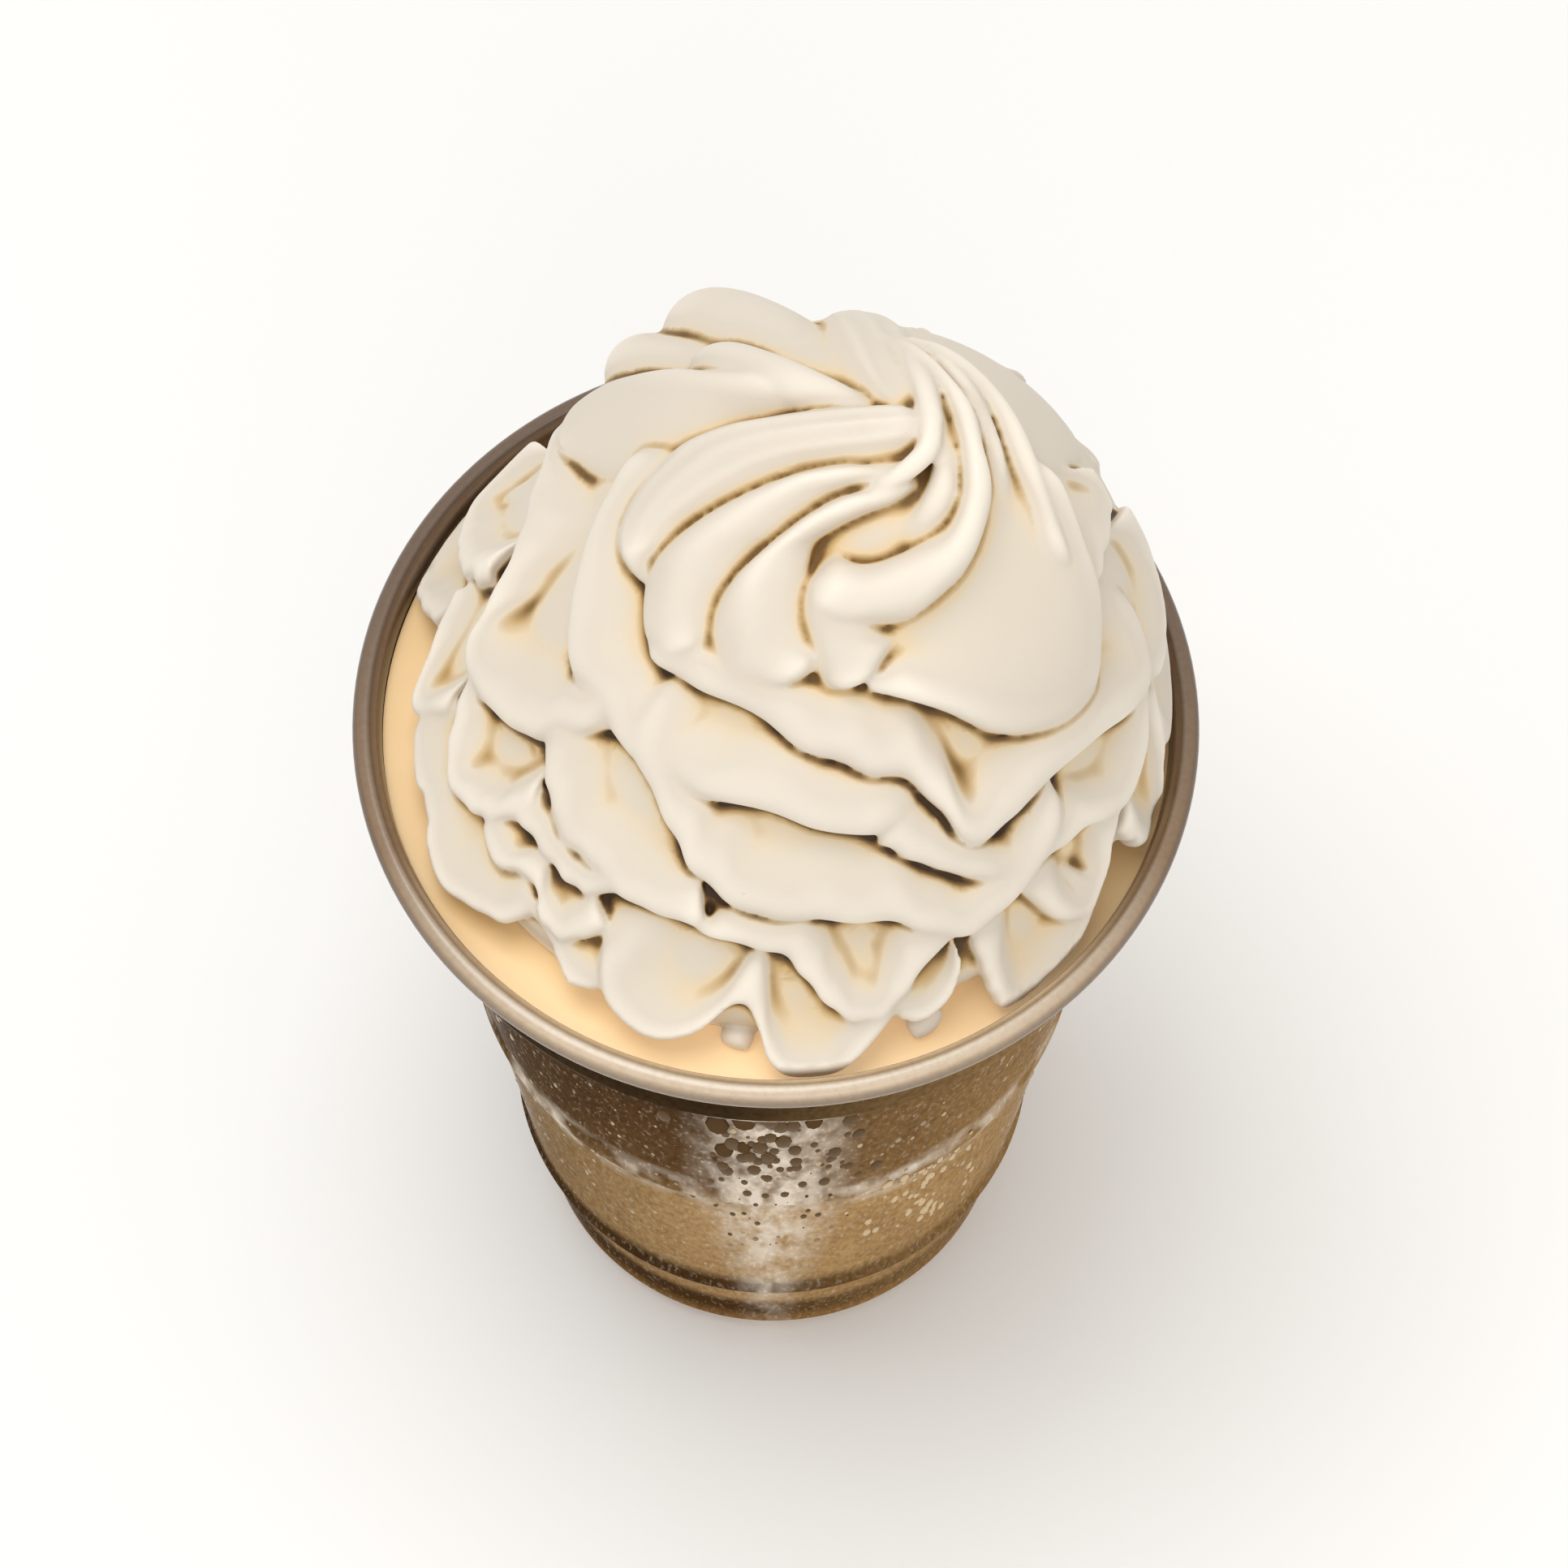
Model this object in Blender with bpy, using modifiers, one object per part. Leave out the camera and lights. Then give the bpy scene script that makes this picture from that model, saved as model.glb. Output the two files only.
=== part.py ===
"""A milkshake in a clear plastic cold-drink cup, under a tall swirl of whipped cream.

Three pieces, each one closed solid: the cup, the drink that fills it to just under the rim, and
the whipped cream on top. Sizes are in millimetres here and become metres when a mesh is made.
The origin is the middle of the cup's foot, +Z is up and the front of the drink faces -Y.
"""

import math

import bmesh
import bpy
import numpy as np

MM = 0.001
TURN_STEPS = 48
GAP = 0.3
TINY = 1e-9
MERGE = 0.00001

# Cup: a thermoformed tumbler with a rolled rim, a stacking shoulder, a grip rib and a ledge.
CUP_HEIGHT = 120.0
WALL = 0.8
RIM_RADIUS = 49.0
BEAD_RADIUS = 1.6
BEAD_TURNS = (150, -60)
BEAD_STEPS = 8
BAND_TOP = (46.5, 116.4)
BAND_FOOT = (45.6, 106.0)
BAND_TUCK = (0.6, 1.0)
SHOULDER_FOOT_Z = 103.0
SHOULDER_FILLET = (0.3, 0.6)
LEDGE_Z = 21.9
LEDGE_RADIUS = 32.7
LEDGE_OUT = 0.7
LEDGE_EDGES = (0.8, 0.6)
LEDGE_BLEND = 2.0
LEDGE_FOOT = (0.5, 1.6)
WALL_SLOPE = 0.11
RIB_Z = 62.0
RIB_HALF_HEIGHT = 2.2
RIB_OUT = 0.5
RIB_STEPS = 5
HEEL = (30.3, 4.2)
HEEL_TOP = (0.5, 5.0)
HEEL_FILLET = 2.2
HEEL_TURNS = (0, -60)
HEEL_STEPS = 4
FOOT_OUTER = 28.4
FOOT_INNER = 26.4
PUSH_UP_RADIUS = 23.5
PUSH_UP_Z = 3.0
PUSH_UP_FOOT = (25.2, 0.9)
PUSH_UP_EDGE = (2.0, 0.6)
# Inside, the wall passes these corners a little away from the outside's, in millimetres.
FLOOR_EDGE = (1.8, 0.6)
HEEL_INSIDE = (0.1, 2.6)
LEDGE_INSIDE = ((0.6, 1.6), (0.2, 0.5), 4.0)
SHOULDER_INSIDE = 0.8
BAND_INSIDE = (0.1, 1.5)
MOUTH_RISE = 1.6

# Drink: fills the cup to this level.
DRINK_LEVEL = 116.4

# Cream: petals, lobes, strands and knobs stand on a leaning dome. A place on it is an azimuth in
# degrees, counted anticlockwise from +X, and a level from 0 at the tip to 1 at the foot.
DOME_FOOT_Z = 118.0
DOME_TIP_Z = 170.0
DOME_RADIUS = 42.0
DOME_FULLNESS = 1.1
DOME_ROUNDNESS = 0.62
LEAN = (16.0, 8.0)
FLARE = 22.0
FLARE_LEVEL = 0.85
FLARE_POWER = 1.5
FOOT_REST_Z = 116.9
FOOT_BEND = 2.0
LEVEL_MOST = 1.3
MAP_STEP = 1e-3
CORE_DEPTH = (-0.3, 7.0)
CORE_EDGE = 0.87
CORE_LEVELS = (0.03, 0.98)
CORE_STEPS = (32, 16)
CORE_SKIRT = 8.0
# The cells and the thinning round the crests off by about this much, so everything stands higher.
SKIN = 0.35
UNDERSIDE = 7.0
UNDERSIDE_SHARES = (0.3, 0.7, 1.0)
END_SINK = 0.8
END_SHARE = 0.14
END_REACH = 0.10
LIP_STEPS = 36
RISE_STEPS = 8
NOSE_STEPS = 7
NOSE_TURNS = (8, 170)
TUCK = 0.7
LIP_REACH = 1.1
LIP_SHARE = 0.4
HEART_SHARE = 0.96
LOBE_STEPS = 40
LOBE_ACROSS = 9
LOBE_ARCH = (2.2, 0.65)
LOBE_SLOPE = 0.9
LOBE_START = 0.10
LOBE_START_SINK = 0.6
TUBE_STEPS = 32
TUBE_AROUND = 12
TUBE_END_POWER = 8
TUBE_END_LEAST = 0.01
CURVE_FINENESS = 10
CELL = 0.75
CREAM_TRIANGLES = 8100
CREAM_CLEAR_RADIUS = 45.0
CREAM_RIM_RADIUS = 48.6
ROOM_TOP = 20.0
ROOM_STEP = 3.0

# Each petal: its heart, how far its lip stands off the dome, how far its inside does, the lip's
# half thickness, the way from the lip over which it falls to the inside, and the lip's places.
PETALS = {
    "lobe_base": ((300, 0.18), 1.6, 1.4, 1.2, 12, (
        (262, 0.36), (278, 0.38), (292, 0.43), (306, 0.50), (318, 0.54), (329, 0.53),
        (338, 0.44), (346, 0.33), (0, 0.20), (46, 0.13))),
    "leaf_back_right": ((40, 0.10), 0.6, 0.2, 1.4, 12, (
        (96, 0.36), (80, 0.46), (62, 0.50), (46, 0.52), (36, 0.52), (28, 0.51), (20, 0.46),
        (12, 0.39), (2, 0.32))),
    "band_2": ((285, 0.18), 3.4, 0.2, 2.4, 10, (
        (206, 0.44), (216, 0.46), (228, 0.45), (240, 0.44), (256, 0.46), (270, 0.48),
        (281, 0.50), (289, 0.55), (295, 0.615), (301, 0.615), (307, 0.60), (322, 0.59),
        (335, 0.63), (345, 0.66), (355, 0.60))),
    "band_3": ((250, 0.20), 3.3, 0.2, 2.2, 10, (
        (160, 0.44), (170, 0.45), (183, 0.49), (195, 0.53), (206, 0.56), (220, 0.56),
        (230, 0.565), (238, 0.565), (244, 0.56), (257, 0.55), (267, 0.56), (276, 0.57),
        (286, 0.57))),
    "band_3_right": ((305, 0.40), 3.0, 0.2, 2.0, 9, (
        (278, 0.58), (286, 0.62), (296, 0.67), (306, 0.71), (318, 0.71), (330, 0.76),
        (338, 0.74), (344, 0.65))),
    "fold_left_1": ((185, 0.40), 3.4, 0.2, 2.5, 12, (
        (140, 0.70), (160, 0.62), (172, 0.62), (181, 0.68), (186, 0.73), (195, 0.72),
        (206, 0.67), (213, 0.62), (220, 0.56))),
    "fold_left_2": ((158, 0.55), 3.0, 0.2, 2.3, 10, (
        (138, 0.84), (146, 0.93), (156, 0.86), (166, 0.79), (174, 0.70))),
    "fold_left_3": ((160, 0.65), 1.8, 0.2, 1.4, 10, (
        (136, 1.02), (146, 1.08), (155, 1.08), (163, 0.98), (171, 0.86), (173, 0.78))),
    "fold_left_4": ((178, 0.60), 2.2, 0.2, 1.7, 9, (
        (170, 0.80), (176, 0.85), (182, 0.92), (186, 0.90), (190, 0.82))),
    "drape_left_1": ((205, 0.58), 2.8, 0.2, 2.1, 9, (
        (188, 0.72), (193, 0.79), (200, 0.85), (205, 0.84), (211, 0.81), (217, 0.74))),
    "drape_left_2": ((225, 0.58), 2.8, 0.2, 2.1, 9, (
        (212, 0.76), (219, 0.76), (226, 0.77), (232, 0.77), (238, 0.73))),
    "drape_front_1": ((232, 0.50), 3.0, 0.2, 2.2, 10, (
        (206, 0.60), (211, 0.65), (217, 0.69), (224, 0.72), (232, 0.73),
        (243, 0.74), (252, 0.73))),
    "band_4": ((260, 0.22), 3.5, 0.2, 2.5, 11, (
        (220, 0.54), (230, 0.575), (240, 0.615), (248, 0.66), (258, 0.69), (271, 0.69),
        (284, 0.71), (294, 0.76), (302, 0.75), (309, 0.71), (316, 0.66))),
    "foot_left_1": ((205, 0.70), 1.8, 0.2, 1.3, 12, (
        (184, 0.84), (187, 0.92), (194, 0.95), (199, 0.94), (204, 0.98), (210, 1.01),
        (217, 0.97), (223, 0.93), (226, 0.86))),
    "foot_left_2": ((222, 0.70), 2.4, 0.2, 1.7, 8, (
        (210, 0.82), (215, 0.855), (220, 0.83), (224, 0.82), (228, 0.865), (232, 0.875),
        (235, 0.85), (238, 0.80))),
    "foot_left_3": ((233, 0.72), 1.5, 0.2, 1.2, 10, (
        (224, 0.87), (231, 0.90), (235, 0.94), (238, 0.95), (241, 0.92), (243, 0.86))),
    "foot_front": ((262, 0.66), 2.4, 0.2, 1.6, 12, (
        (236, 0.78), (239, 0.87), (243, 0.94), (248, 0.98), (253, 0.985), (257, 0.94), (260, 0.87),
        (263, 0.86), (266, 0.91), (269, 0.99), (274, 1.06), (280, 1.07), (283, 1.01),
        (286, 0.91), (289, 0.84))),
    "drape_front_2": ((272, 0.58), 2.8, 0.2, 2.0, 11, (
        (250, 0.74), (258, 0.745), (265, 0.75), (270, 0.79), (275, 0.85), (280, 0.895),
        (284, 0.90), (287, 0.85), (290, 0.79), (295, 0.76))),
    "foot_front_3": ((292, 0.72), 2.0, 0.2, 1.5, 9, (
        (284, 0.84), (287, 0.91), (291, 0.94), (295, 0.91), (296, 0.83))),
    "foot_right_1": ((307, 0.68), 2.4, 0.2, 1.6, 12, (
        (296, 0.76), (300, 0.86), (303, 0.96), (308, 1.07), (313, 1.10), (317, 1.07),
        (321, 0.99), (324, 0.88))),
    "fold_right_1": ((316, 0.66), 2.6, 0.2, 1.8, 10, (
        (306, 0.74), (314, 0.86), (321, 0.93), (325, 0.88), (327, 0.81), (330, 0.76))),
    "fold_right_2": ((338, 0.65), 2.6, 0.2, 1.8, 11, (
        (330, 0.83), (335, 0.93), (340, 1.02), (345, 1.05), (347, 0.93), (347, 0.80),
        (348, 0.68))),
    "fold_right_3": ((5, 0.30), 2.2, 0.2, 1.6, 9, (
        (14, 0.44), (8, 0.48), (357, 0.46), (346, 0.45), (338, 0.44))),
    "fold_right_4": ((355, 0.45), 2.6, 0.2, 1.8, 10, (
        (342, 0.62), (350, 0.70), (0, 0.72), (8, 0.68), (14, 0.56))),
    "fold_right_5": ((0, 0.68), 2.4, 0.2, 1.8, 10, (
        (344, 0.80), (352, 0.92), (2, 0.95), (10, 0.92), (18, 0.84))),
}
# Each lobe of the rosette: how far its borders stand off the dome, how far its crest does above
# them, and the places of its two borders.
LOBES = {
    "lobe_left": (1.4, 2.6, (
        (42, 0.03), (119, 0.05), (148, 0.10), (157, 0.16), (161, 0.23), (162, 0.29), (165, 0.35),
        (170, 0.38), (175, 0.41), (181, 0.43), (187, 0.44), (195, 0.43), (201, 0.42)), (
        (308, 0.04), (257, 0.05), (222, 0.09), (205, 0.14), (198, 0.19), (195, 0.24), (194, 0.29),
        (194, 0.33), (196, 0.36), (198, 0.39), (201, 0.41))),
    "lobe_mid": (1.4, 2.8, (
        (306, 0.04), (259, 0.06), (224, 0.10), (206, 0.14), (199, 0.19), (196, 0.24), (195, 0.29),
        (195, 0.33), (196, 0.37), (198, 0.40), (202, 0.42), (208, 0.44), (213, 0.45), (219, 0.45),
        (223, 0.43), (226, 0.41)), (
        (294, 0.06), (263, 0.09), (245, 0.11), (225, 0.15), (220, 0.20), (219, 0.24), (217, 0.28),
        (218, 0.32), (220, 0.35), (224, 0.38), (227, 0.40), (226, 0.41))),
    "lobe_front": (1.6, 2.6, (
        (290, 0.07), (263, 0.09), (246, 0.12), (227, 0.16), (222, 0.20), (220, 0.24), (219, 0.28),
        (219, 0.32), (221, 0.36), (225, 0.39), (230, 0.41), (235, 0.43), (240, 0.42), (245, 0.41),
        (250, 0.39), (254, 0.37)), (
        (285, 0.09), (260, 0.13), (245, 0.16), (235, 0.20), (232, 0.23), (236, 0.26), (241, 0.29),
        (247, 0.32), (253, 0.34), (256, 0.36))),
    "lobe_tip": (1.4, 2.4, (
        (242, 0.24), (241, 0.27), (243, 0.30), (248, 0.33), (253, 0.36), (259, 0.38), (265, 0.38),
        (268, 0.37)), (
        (259, 0.25), (263, 0.28), (268, 0.29), (272, 0.31), (275, 0.32), (273, 0.34),
        (270, 0.37))),
    "curl_outer": (2.0, 2.8, (
        (91, 0.29), (76, 0.18), (52, 0.12), (14, 0.11), (343, 0.13), (326, 0.18), (311, 0.22),
        (300, 0.25), (289, 0.27), (279, 0.29), (267, 0.30), (257, 0.31), (247, 0.30), (240, 0.29),
        (235, 0.27), (234, 0.25)), (
        (93, 0.28), (81, 0.17), (61, 0.09), (8, 0.06), (326, 0.09), (309, 0.14), (296, 0.18),
        (280, 0.20), (265, 0.22), (255, 0.23), (247, 0.23), (239, 0.23), (234, 0.24))),
    "curl_inner": (1.6, 2.0, (
        (93, 0.32), (83, 0.18), (65, 0.10), (10, 0.05), (326, 0.09), (309, 0.14), (296, 0.17),
        (279, 0.20), (265, 0.21), (256, 0.22)), (
        (95, 0.31), (88, 0.17), (78, 0.09), (47, 0.02), (305, 0.05), (291, 0.10), (279, 0.14),
        (268, 0.17), (261, 0.19), (254, 0.21))),
    "fold_mid": (2.0, 2.2, (
        (88, 0.28), (71, 0.19), (47, 0.14), (14, 0.12), (346, 0.15), (330, 0.19), (321, 0.22),
        (317, 0.27)), (
        (86, 0.28), (68, 0.20), (43, 0.16), (12, 0.15), (349, 0.18), (337, 0.23), (329, 0.28),
        (319, 0.29))),
    "fold_right": (2.0, 2.4, (
        (86, 0.27), (67, 0.20), (42, 0.17), (13, 0.17), (352, 0.20), (341, 0.25), (333, 0.29),
        (327, 0.33), (324, 0.37), (320, 0.39)), (
        (85, 0.26), (64, 0.22), (41, 0.20), (15, 0.21), (354, 0.25), (343, 0.30), (338, 0.35),
        (334, 0.40), (329, 0.42), (321, 0.41))),
    "lobe_right": (1.4, 2.8, (
        (8, 0.19), (355, 0.24), (347, 0.29), (342, 0.34), (339, 0.40), (334, 0.43), (325, 0.43),
        (314, 0.40), (300, 0.36), (288, 0.34), (278, 0.33), (272, 0.34), (268, 0.35)), (
        (11, 0.21), (359, 0.26), (351, 0.32), (345, 0.38), (341, 0.45), (335, 0.50), (329, 0.54),
        (320, 0.54), (311, 0.51), (301, 0.47), (290, 0.42), (278, 0.39), (269, 0.38))),
    "lobe_back_left": (1.0, 2.6, (
        (145, 0.18), (140, 0.26), (138, 0.38), (134, 0.48), (131, 0.60), (129, 0.72), (133, 0.76),
        (144, 0.66), (153, 0.59)), (
        (146, 0.18), (155, 0.23), (158, 0.30), (163, 0.34), (166, 0.37), (167, 0.41), (165, 0.46),
        (161, 0.52), (156, 0.57))),
}
# Each strand: the places that it runs through, with a height off the dome and a radius.
STRANDS = {
    "back_ridge_1": ((97, 0.50, -0.4, 1.5), (112, 0.25, 0.4, 1.7), (128, 0.16, 0.8, 1.6),
                     (146, 0.13, 0.6, 1.3)),
    "back_ridge_2": ((92, 0.48, -0.4, 1.5), (101, 0.23, 0.6, 1.7), (112, 0.13, 1.2, 1.6),
                     (138, 0.08, 0.8, 1.3)),
    "back_ridge_3": ((89, 0.47, -0.4, 1.4), (93, 0.21, 0.8, 1.6), (95, 0.10, 1.5, 1.5),
                     (117, 0.04, 1.2, 1.2)),
    "crest": ((87, 0.47, -0.4, 1.2), (85, 0.19, 1.0, 1.4), (79, 0.09, 2.0, 1.4),
              (41, 0.01, 2.8, 1.4), (286, 0.05, 3.1, 1.3), (266, 0.08, 2.8, 1.2),
              (249, 0.11, 2.4, 1.1), (231, 0.13, 1.4, 1.0)),
}
# Each knob: its radius, and the points in millimetres that it runs through.
KNOBS = {
    "knob_back_1": (5.0, ((-12.0, 40.5, 138.5), (-6.4, 37.5, 142.5), (-2.1, 32.0, 147.0),
                          (2.2, 25.6, 151.5), (6.3, 19.9, 156.0), (9.8, 14.0, 159.0))),
    "knob_back_2": (3.8, ((-18.5, 36.5, 136.0), (-14.6, 34.0, 140.0), (-9.0, 29.2, 145.0),
                          (-3.8, 23.9, 150.0), (2.0, 19.7, 154.0), (5.5, 14.5, 157.0))),
    "knob_left": (4.0, ((-22.0, 24.5, 136.5), (-18.2, 24.6, 140.5), (-13.1, 22.7, 145.0),
                        (-7.1, 20.3, 149.5), (-1.3, 17.5, 153.5))),
    "drop_front": (1.9, ((-4.3, -36.3, 118.4), (-3.7, -38.9, 117.6), (-4.6, -41.2, 117.0))),
    "drop_right": (1.6, ((18.1, -36.1, 118.4), (17.2, -37.9, 117.8), (15.2, -38.9, 117.4))),
}
# The back's petals: where they stand, each tier's level and count, how far each strays from its
# place, and a lip's places as shares of its half width with the levels that they stand higher.
BACK_AZIMUTHS = (22, 140)
BACK_TIERS = ((0.66, 5), (0.82, 6), (0.97, 7))
BACK_STAGGER = 0.25
BACK_STRAY = (3, 0.04)
BACK_HALVES = (0.55, 0.75)
BACK_LIP = ((-1, 0.14), (-0.6, 0.03), (0, 0), (0.6, 0.03), (1, 0.14))
BACK_HEART_RISE = 0.3
BACK_SEED = 7
BACK_LIFTS = (0.6, 1.4)
BACK_SHAPE = (-1.0, 1.3, 12)

# Each material: its colour and its roughness.
CLEAR_PLASTIC = ((0.72, 0.70, 0.66), 0.08)
MILKSHAKE = ((0.90, 0.66, 0.32), 0.35)
CREAM = ((0.88, 0.81, 0.69), 0.5)


def spread(points, count):
    """Places evenly spaced in parameter along the Catmull-Rom curve through the given points."""
    points = np.asarray(points, float)
    ends = (2 * points[0] - points[1], 2 * points[-1] - points[-2])
    padded = np.vstack([ends[0], points, ends[1]])
    t = np.linspace(0, len(points) - 1, count)
    i = np.minimum(t.astype(int), len(points) - 2)
    f = (t - i)[:, None]
    a, b, c, d = (padded[i + k] for k in range(4))
    return 0.5 * (2 * b + (c - a) * f + (2 * a - 5 * b + 4 * c - d) * f**2
                  + (3 * b - a - 3 * c + d) * f**3)


def on_map(place):
    """An azimuth and a level as a point of the flat map, whose middle is the tip."""
    azimuth, level = place[:2]
    return (level * math.cos(math.radians(azimuth)), level * math.sin(math.radians(azimuth)))


def dome(flat):
    """Points of the dome: each level is a circle, wide as the sine of the level's angle and
    flaring at the foot, high as a blend of its cosine and the square of that, levelling out on
    the drink; its middle moves from the lean to the axis."""
    reach = np.maximum(np.hypot(flat[..., 0], flat[..., 1]), TINY)
    level = np.minimum(reach, LEVEL_MOST)
    outward = flat / reach[..., None]
    angle = level * math.pi / 2
    radius = DOME_RADIUS * np.sin(np.minimum(angle, math.pi / 2)) ** DOME_FULLNESS
    radius = radius + FLARE * np.maximum(level - FLARE_LEVEL, 0) ** FLARE_POWER
    cosine = np.cos(angle)
    height = DOME_ROUNDNESS * cosine * np.abs(cosine) + (1 - DOME_ROUNDNESS) * cosine
    over = DOME_FOOT_Z + (DOME_TIP_Z - DOME_FOOT_Z) * height - FOOT_REST_Z
    z = FOOT_REST_Z + 0.5 * (over + np.sqrt(over**2 + FOOT_BEND**2))
    x = LEAN[0] * (1 - level) + radius * outward[..., 0]
    y = LEAN[1] * (1 - level**2) + radius * outward[..., 1]
    return np.stack([x, y, z], -1)


def unit(vectors):
    return vectors / np.maximum(np.linalg.norm(vectors, axis=-1, keepdims=True), TINY)


def dome_normal(flat):
    along_x = dome(flat + (MAP_STEP, 0)) - dome(flat - (MAP_STEP, 0))
    along_y = dome(flat + (0, MAP_STEP)) - dome(flat - (0, MAP_STEP))
    return unit(np.cross(along_x, along_y))


def stand(flat, height):
    """Points that stand this far off the dome, over the given places of the map."""
    return dome(flat) + dome_normal(flat) * height


def petal_grid(heart, lift, inner, plump, width, lip):
    """A petal as rows of points, one for each step along its lip. A row is a closed loop: from
    inside it rises to the lip as half a cosine wave, rounds the lip as half an ellipse, tucks in
    under it and returns below the dome."""
    middle = np.array(on_map(heart))
    lip = np.array([on_map(place) for place in lip])
    lip = np.vstack([lip[0] + END_REACH * (middle - lip[0]), lip,
                     lip[-1] + END_REACH * (middle - lip[-1])])
    edge = spread(lip, LIP_STEPS)
    share = np.linspace(0, 1, LIP_STEPS)
    end = np.clip(np.minimum(share, 1 - share) / END_SHARE, 0, 1)
    sink = ((lift + END_SINK) * (1 - end * end * (3 - 2 * end)))[:, None]
    top = lift + SKIN - sink
    tangent = unit(np.gradient(dome(edge), axis=0))
    normal = dome_normal(edge)
    outward = np.cross(tangent, normal)
    inwards = dome(middle[None, :]) - dome(edge)
    outward *= -np.sign((inwards * outward).sum(-1, keepdims=True))
    length = np.linalg.norm(inwards, axis=-1)[:, None]
    wide = np.minimum(LIP_REACH * plump, LIP_SHARE * length)
    full = np.minimum(width, HEART_SHARE * length)
    rows = []
    for u in np.linspace(1, 0, RISE_STEPS):
        flat = edge + (middle - edge) * ((wide + (full - wide) * u) / length)
        rows.append(stand(flat, top + (inner - top) * (1 - math.cos(math.pi * u)) / 2))
    foot = dome(edge) - outward * wide + normal * top
    for turn in np.radians(np.linspace(*NOSE_TURNS, NOSE_STEPS)):
        along = math.sin(turn) if turn < math.pi / 2 else 1 - TUCK * (1 - math.sin(turn))
        rows.append(foot + outward * (wide * along) - normal * (plump * (1 - math.cos(turn))))
    for u in UNDERSIDE_SHARES:
        flat = edge + (middle - edge) * ((wide + (full - wide) * u) / length)
        rows.append(stand(flat, -UNDERSIDE))
    return np.stack(rows, 1)


def evenly(points, count):
    """Places evenly spaced along the curve through the given points."""
    fine = spread(points, CURVE_FINENESS * count)
    way = np.concatenate([[0], np.cumsum(np.linalg.norm(np.diff(fine, axis=0), axis=-1))])
    wanted = np.linspace(0, way[-1], count)
    return np.stack([np.interp(wanted, way, fine[:, k]) for k in range(2)], -1)


def lobe_grid(lift, crest, one, other):
    """A lobe between two borders: across it stands a blunt arch, no higher than the lobe is
    wide. It rises from the dome where the lobe starts. A row is a closed loop that returns below
    the dome."""
    one = evenly([on_map(place) for place in one], LOBE_STEPS)[:, None]
    other = evenly([on_map(place) for place in other], LOBE_STEPS)[:, None]
    half = np.linalg.norm(dome(other) - dome(one), axis=-1) / 2
    start = np.clip(np.linspace(0, 1, LOBE_STEPS)[:, None] / LOBE_START, 0, 1)
    start = start * start * (3 - 2 * start)
    across = -np.cos(np.linspace(0, math.pi, LOBE_ACROSS))
    flat = one + (other - one) * ((1 + across) / 2)[:, None]
    arch = np.maximum(1 - np.abs(across) ** LOBE_ARCH[0], 0) ** LOBE_ARCH[1]
    height = lift + SKIN + np.minimum(crest, LOBE_SLOPE * half) * arch
    height = height * start - LOBE_START_SINK * (1 - start)
    under = stand(flat, -UNDERSIDE)
    return np.concatenate([stand(flat, height[..., None]), under[:, ::-1]], 1)


def tube(radius, centre, side, up):
    """Rings round a path, each as wide as its radius times a flattened arch of the way along, so
    both ends close."""
    t = np.linspace(-1, 1, len(centre))[:, None]
    width = radius * np.sqrt(np.maximum(1 - t**TUBE_END_POWER, TUBE_END_LEAST))
    turn = np.linspace(0, 2 * math.pi, TUBE_AROUND, endpoint=False)[None, :, None]
    return centre[:, None] + width[:, None] * (np.cos(turn) * side[:, None]
                                               + np.sin(turn) * up[:, None])


def strand_grid(path):
    """A tube along places of the dome, each with its height off it and its radius."""
    flat = spread([on_map(place) for place in path], TUBE_STEPS)
    size = spread([place[2:] for place in path], TUBE_STEPS)
    centre = stand(flat, size[:, :1] + SKIN)
    tangent = unit(np.gradient(centre, axis=0))
    side = unit(np.cross(tangent, dome_normal(flat)))
    return tube(size[:, 1:], centre, side, np.cross(side, tangent))


def knob_grid(radius, path):
    """A tube along points in space."""
    centre = spread(path, TUBE_STEPS)
    tangent = unit(np.gradient(centre, axis=0))
    side = unit(np.cross(tangent, (0, 0, 1.0)))
    return tube(radius, centre, side, np.cross(side, tangent))


def core_grid():
    """The dome itself, set in by the core's depth, as rings from the tip to a skirt below."""
    turns, levels = CORE_STEPS
    azimuth = np.linspace(0, 2 * math.pi, turns, endpoint=False)
    level = np.linspace(*CORE_LEVELS, levels)
    flat = level[:, None, None] * np.stack([np.cos(azimuth), np.sin(azimuth)], -1)
    fall = np.clip((level - CORE_EDGE) / (level[-1] - CORE_EDGE), 0, 1) ** 2
    depth = CORE_DEPTH[0] + (CORE_DEPTH[1] - CORE_DEPTH[0]) * fall
    rings = stand(flat, -depth[:, None, None])
    return np.vstack([rings, rings[-1:] - (0, 0, CORE_SKIRT)])


def back_petals():
    """Petals for the side away from the front, staggered in tiers, each a little different."""
    draw = np.random.default_rng(BACK_SEED)
    found = []
    first, last = BACK_AZIMUTHS
    turn, rise = BACK_STRAY
    for tier, (level, count) in enumerate(BACK_TIERS):
        width = (last - first) / count
        for k in range(count):
            stagger = 0.5 + BACK_STAGGER * (-1) ** tier
            middle = first + width * (k + stagger) + draw.uniform(-turn, turn)
            low = level + draw.uniform(-rise, rise)
            half = width * draw.uniform(*BACK_HALVES)
            lip = [(middle + share * half, low - higher) for share, higher in BACK_LIP]
            heart = (middle, low - BACK_HEART_RISE)
            found.append((heart, draw.uniform(*BACK_LIFTS), *BACK_SHAPE, lip))
    return found


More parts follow.
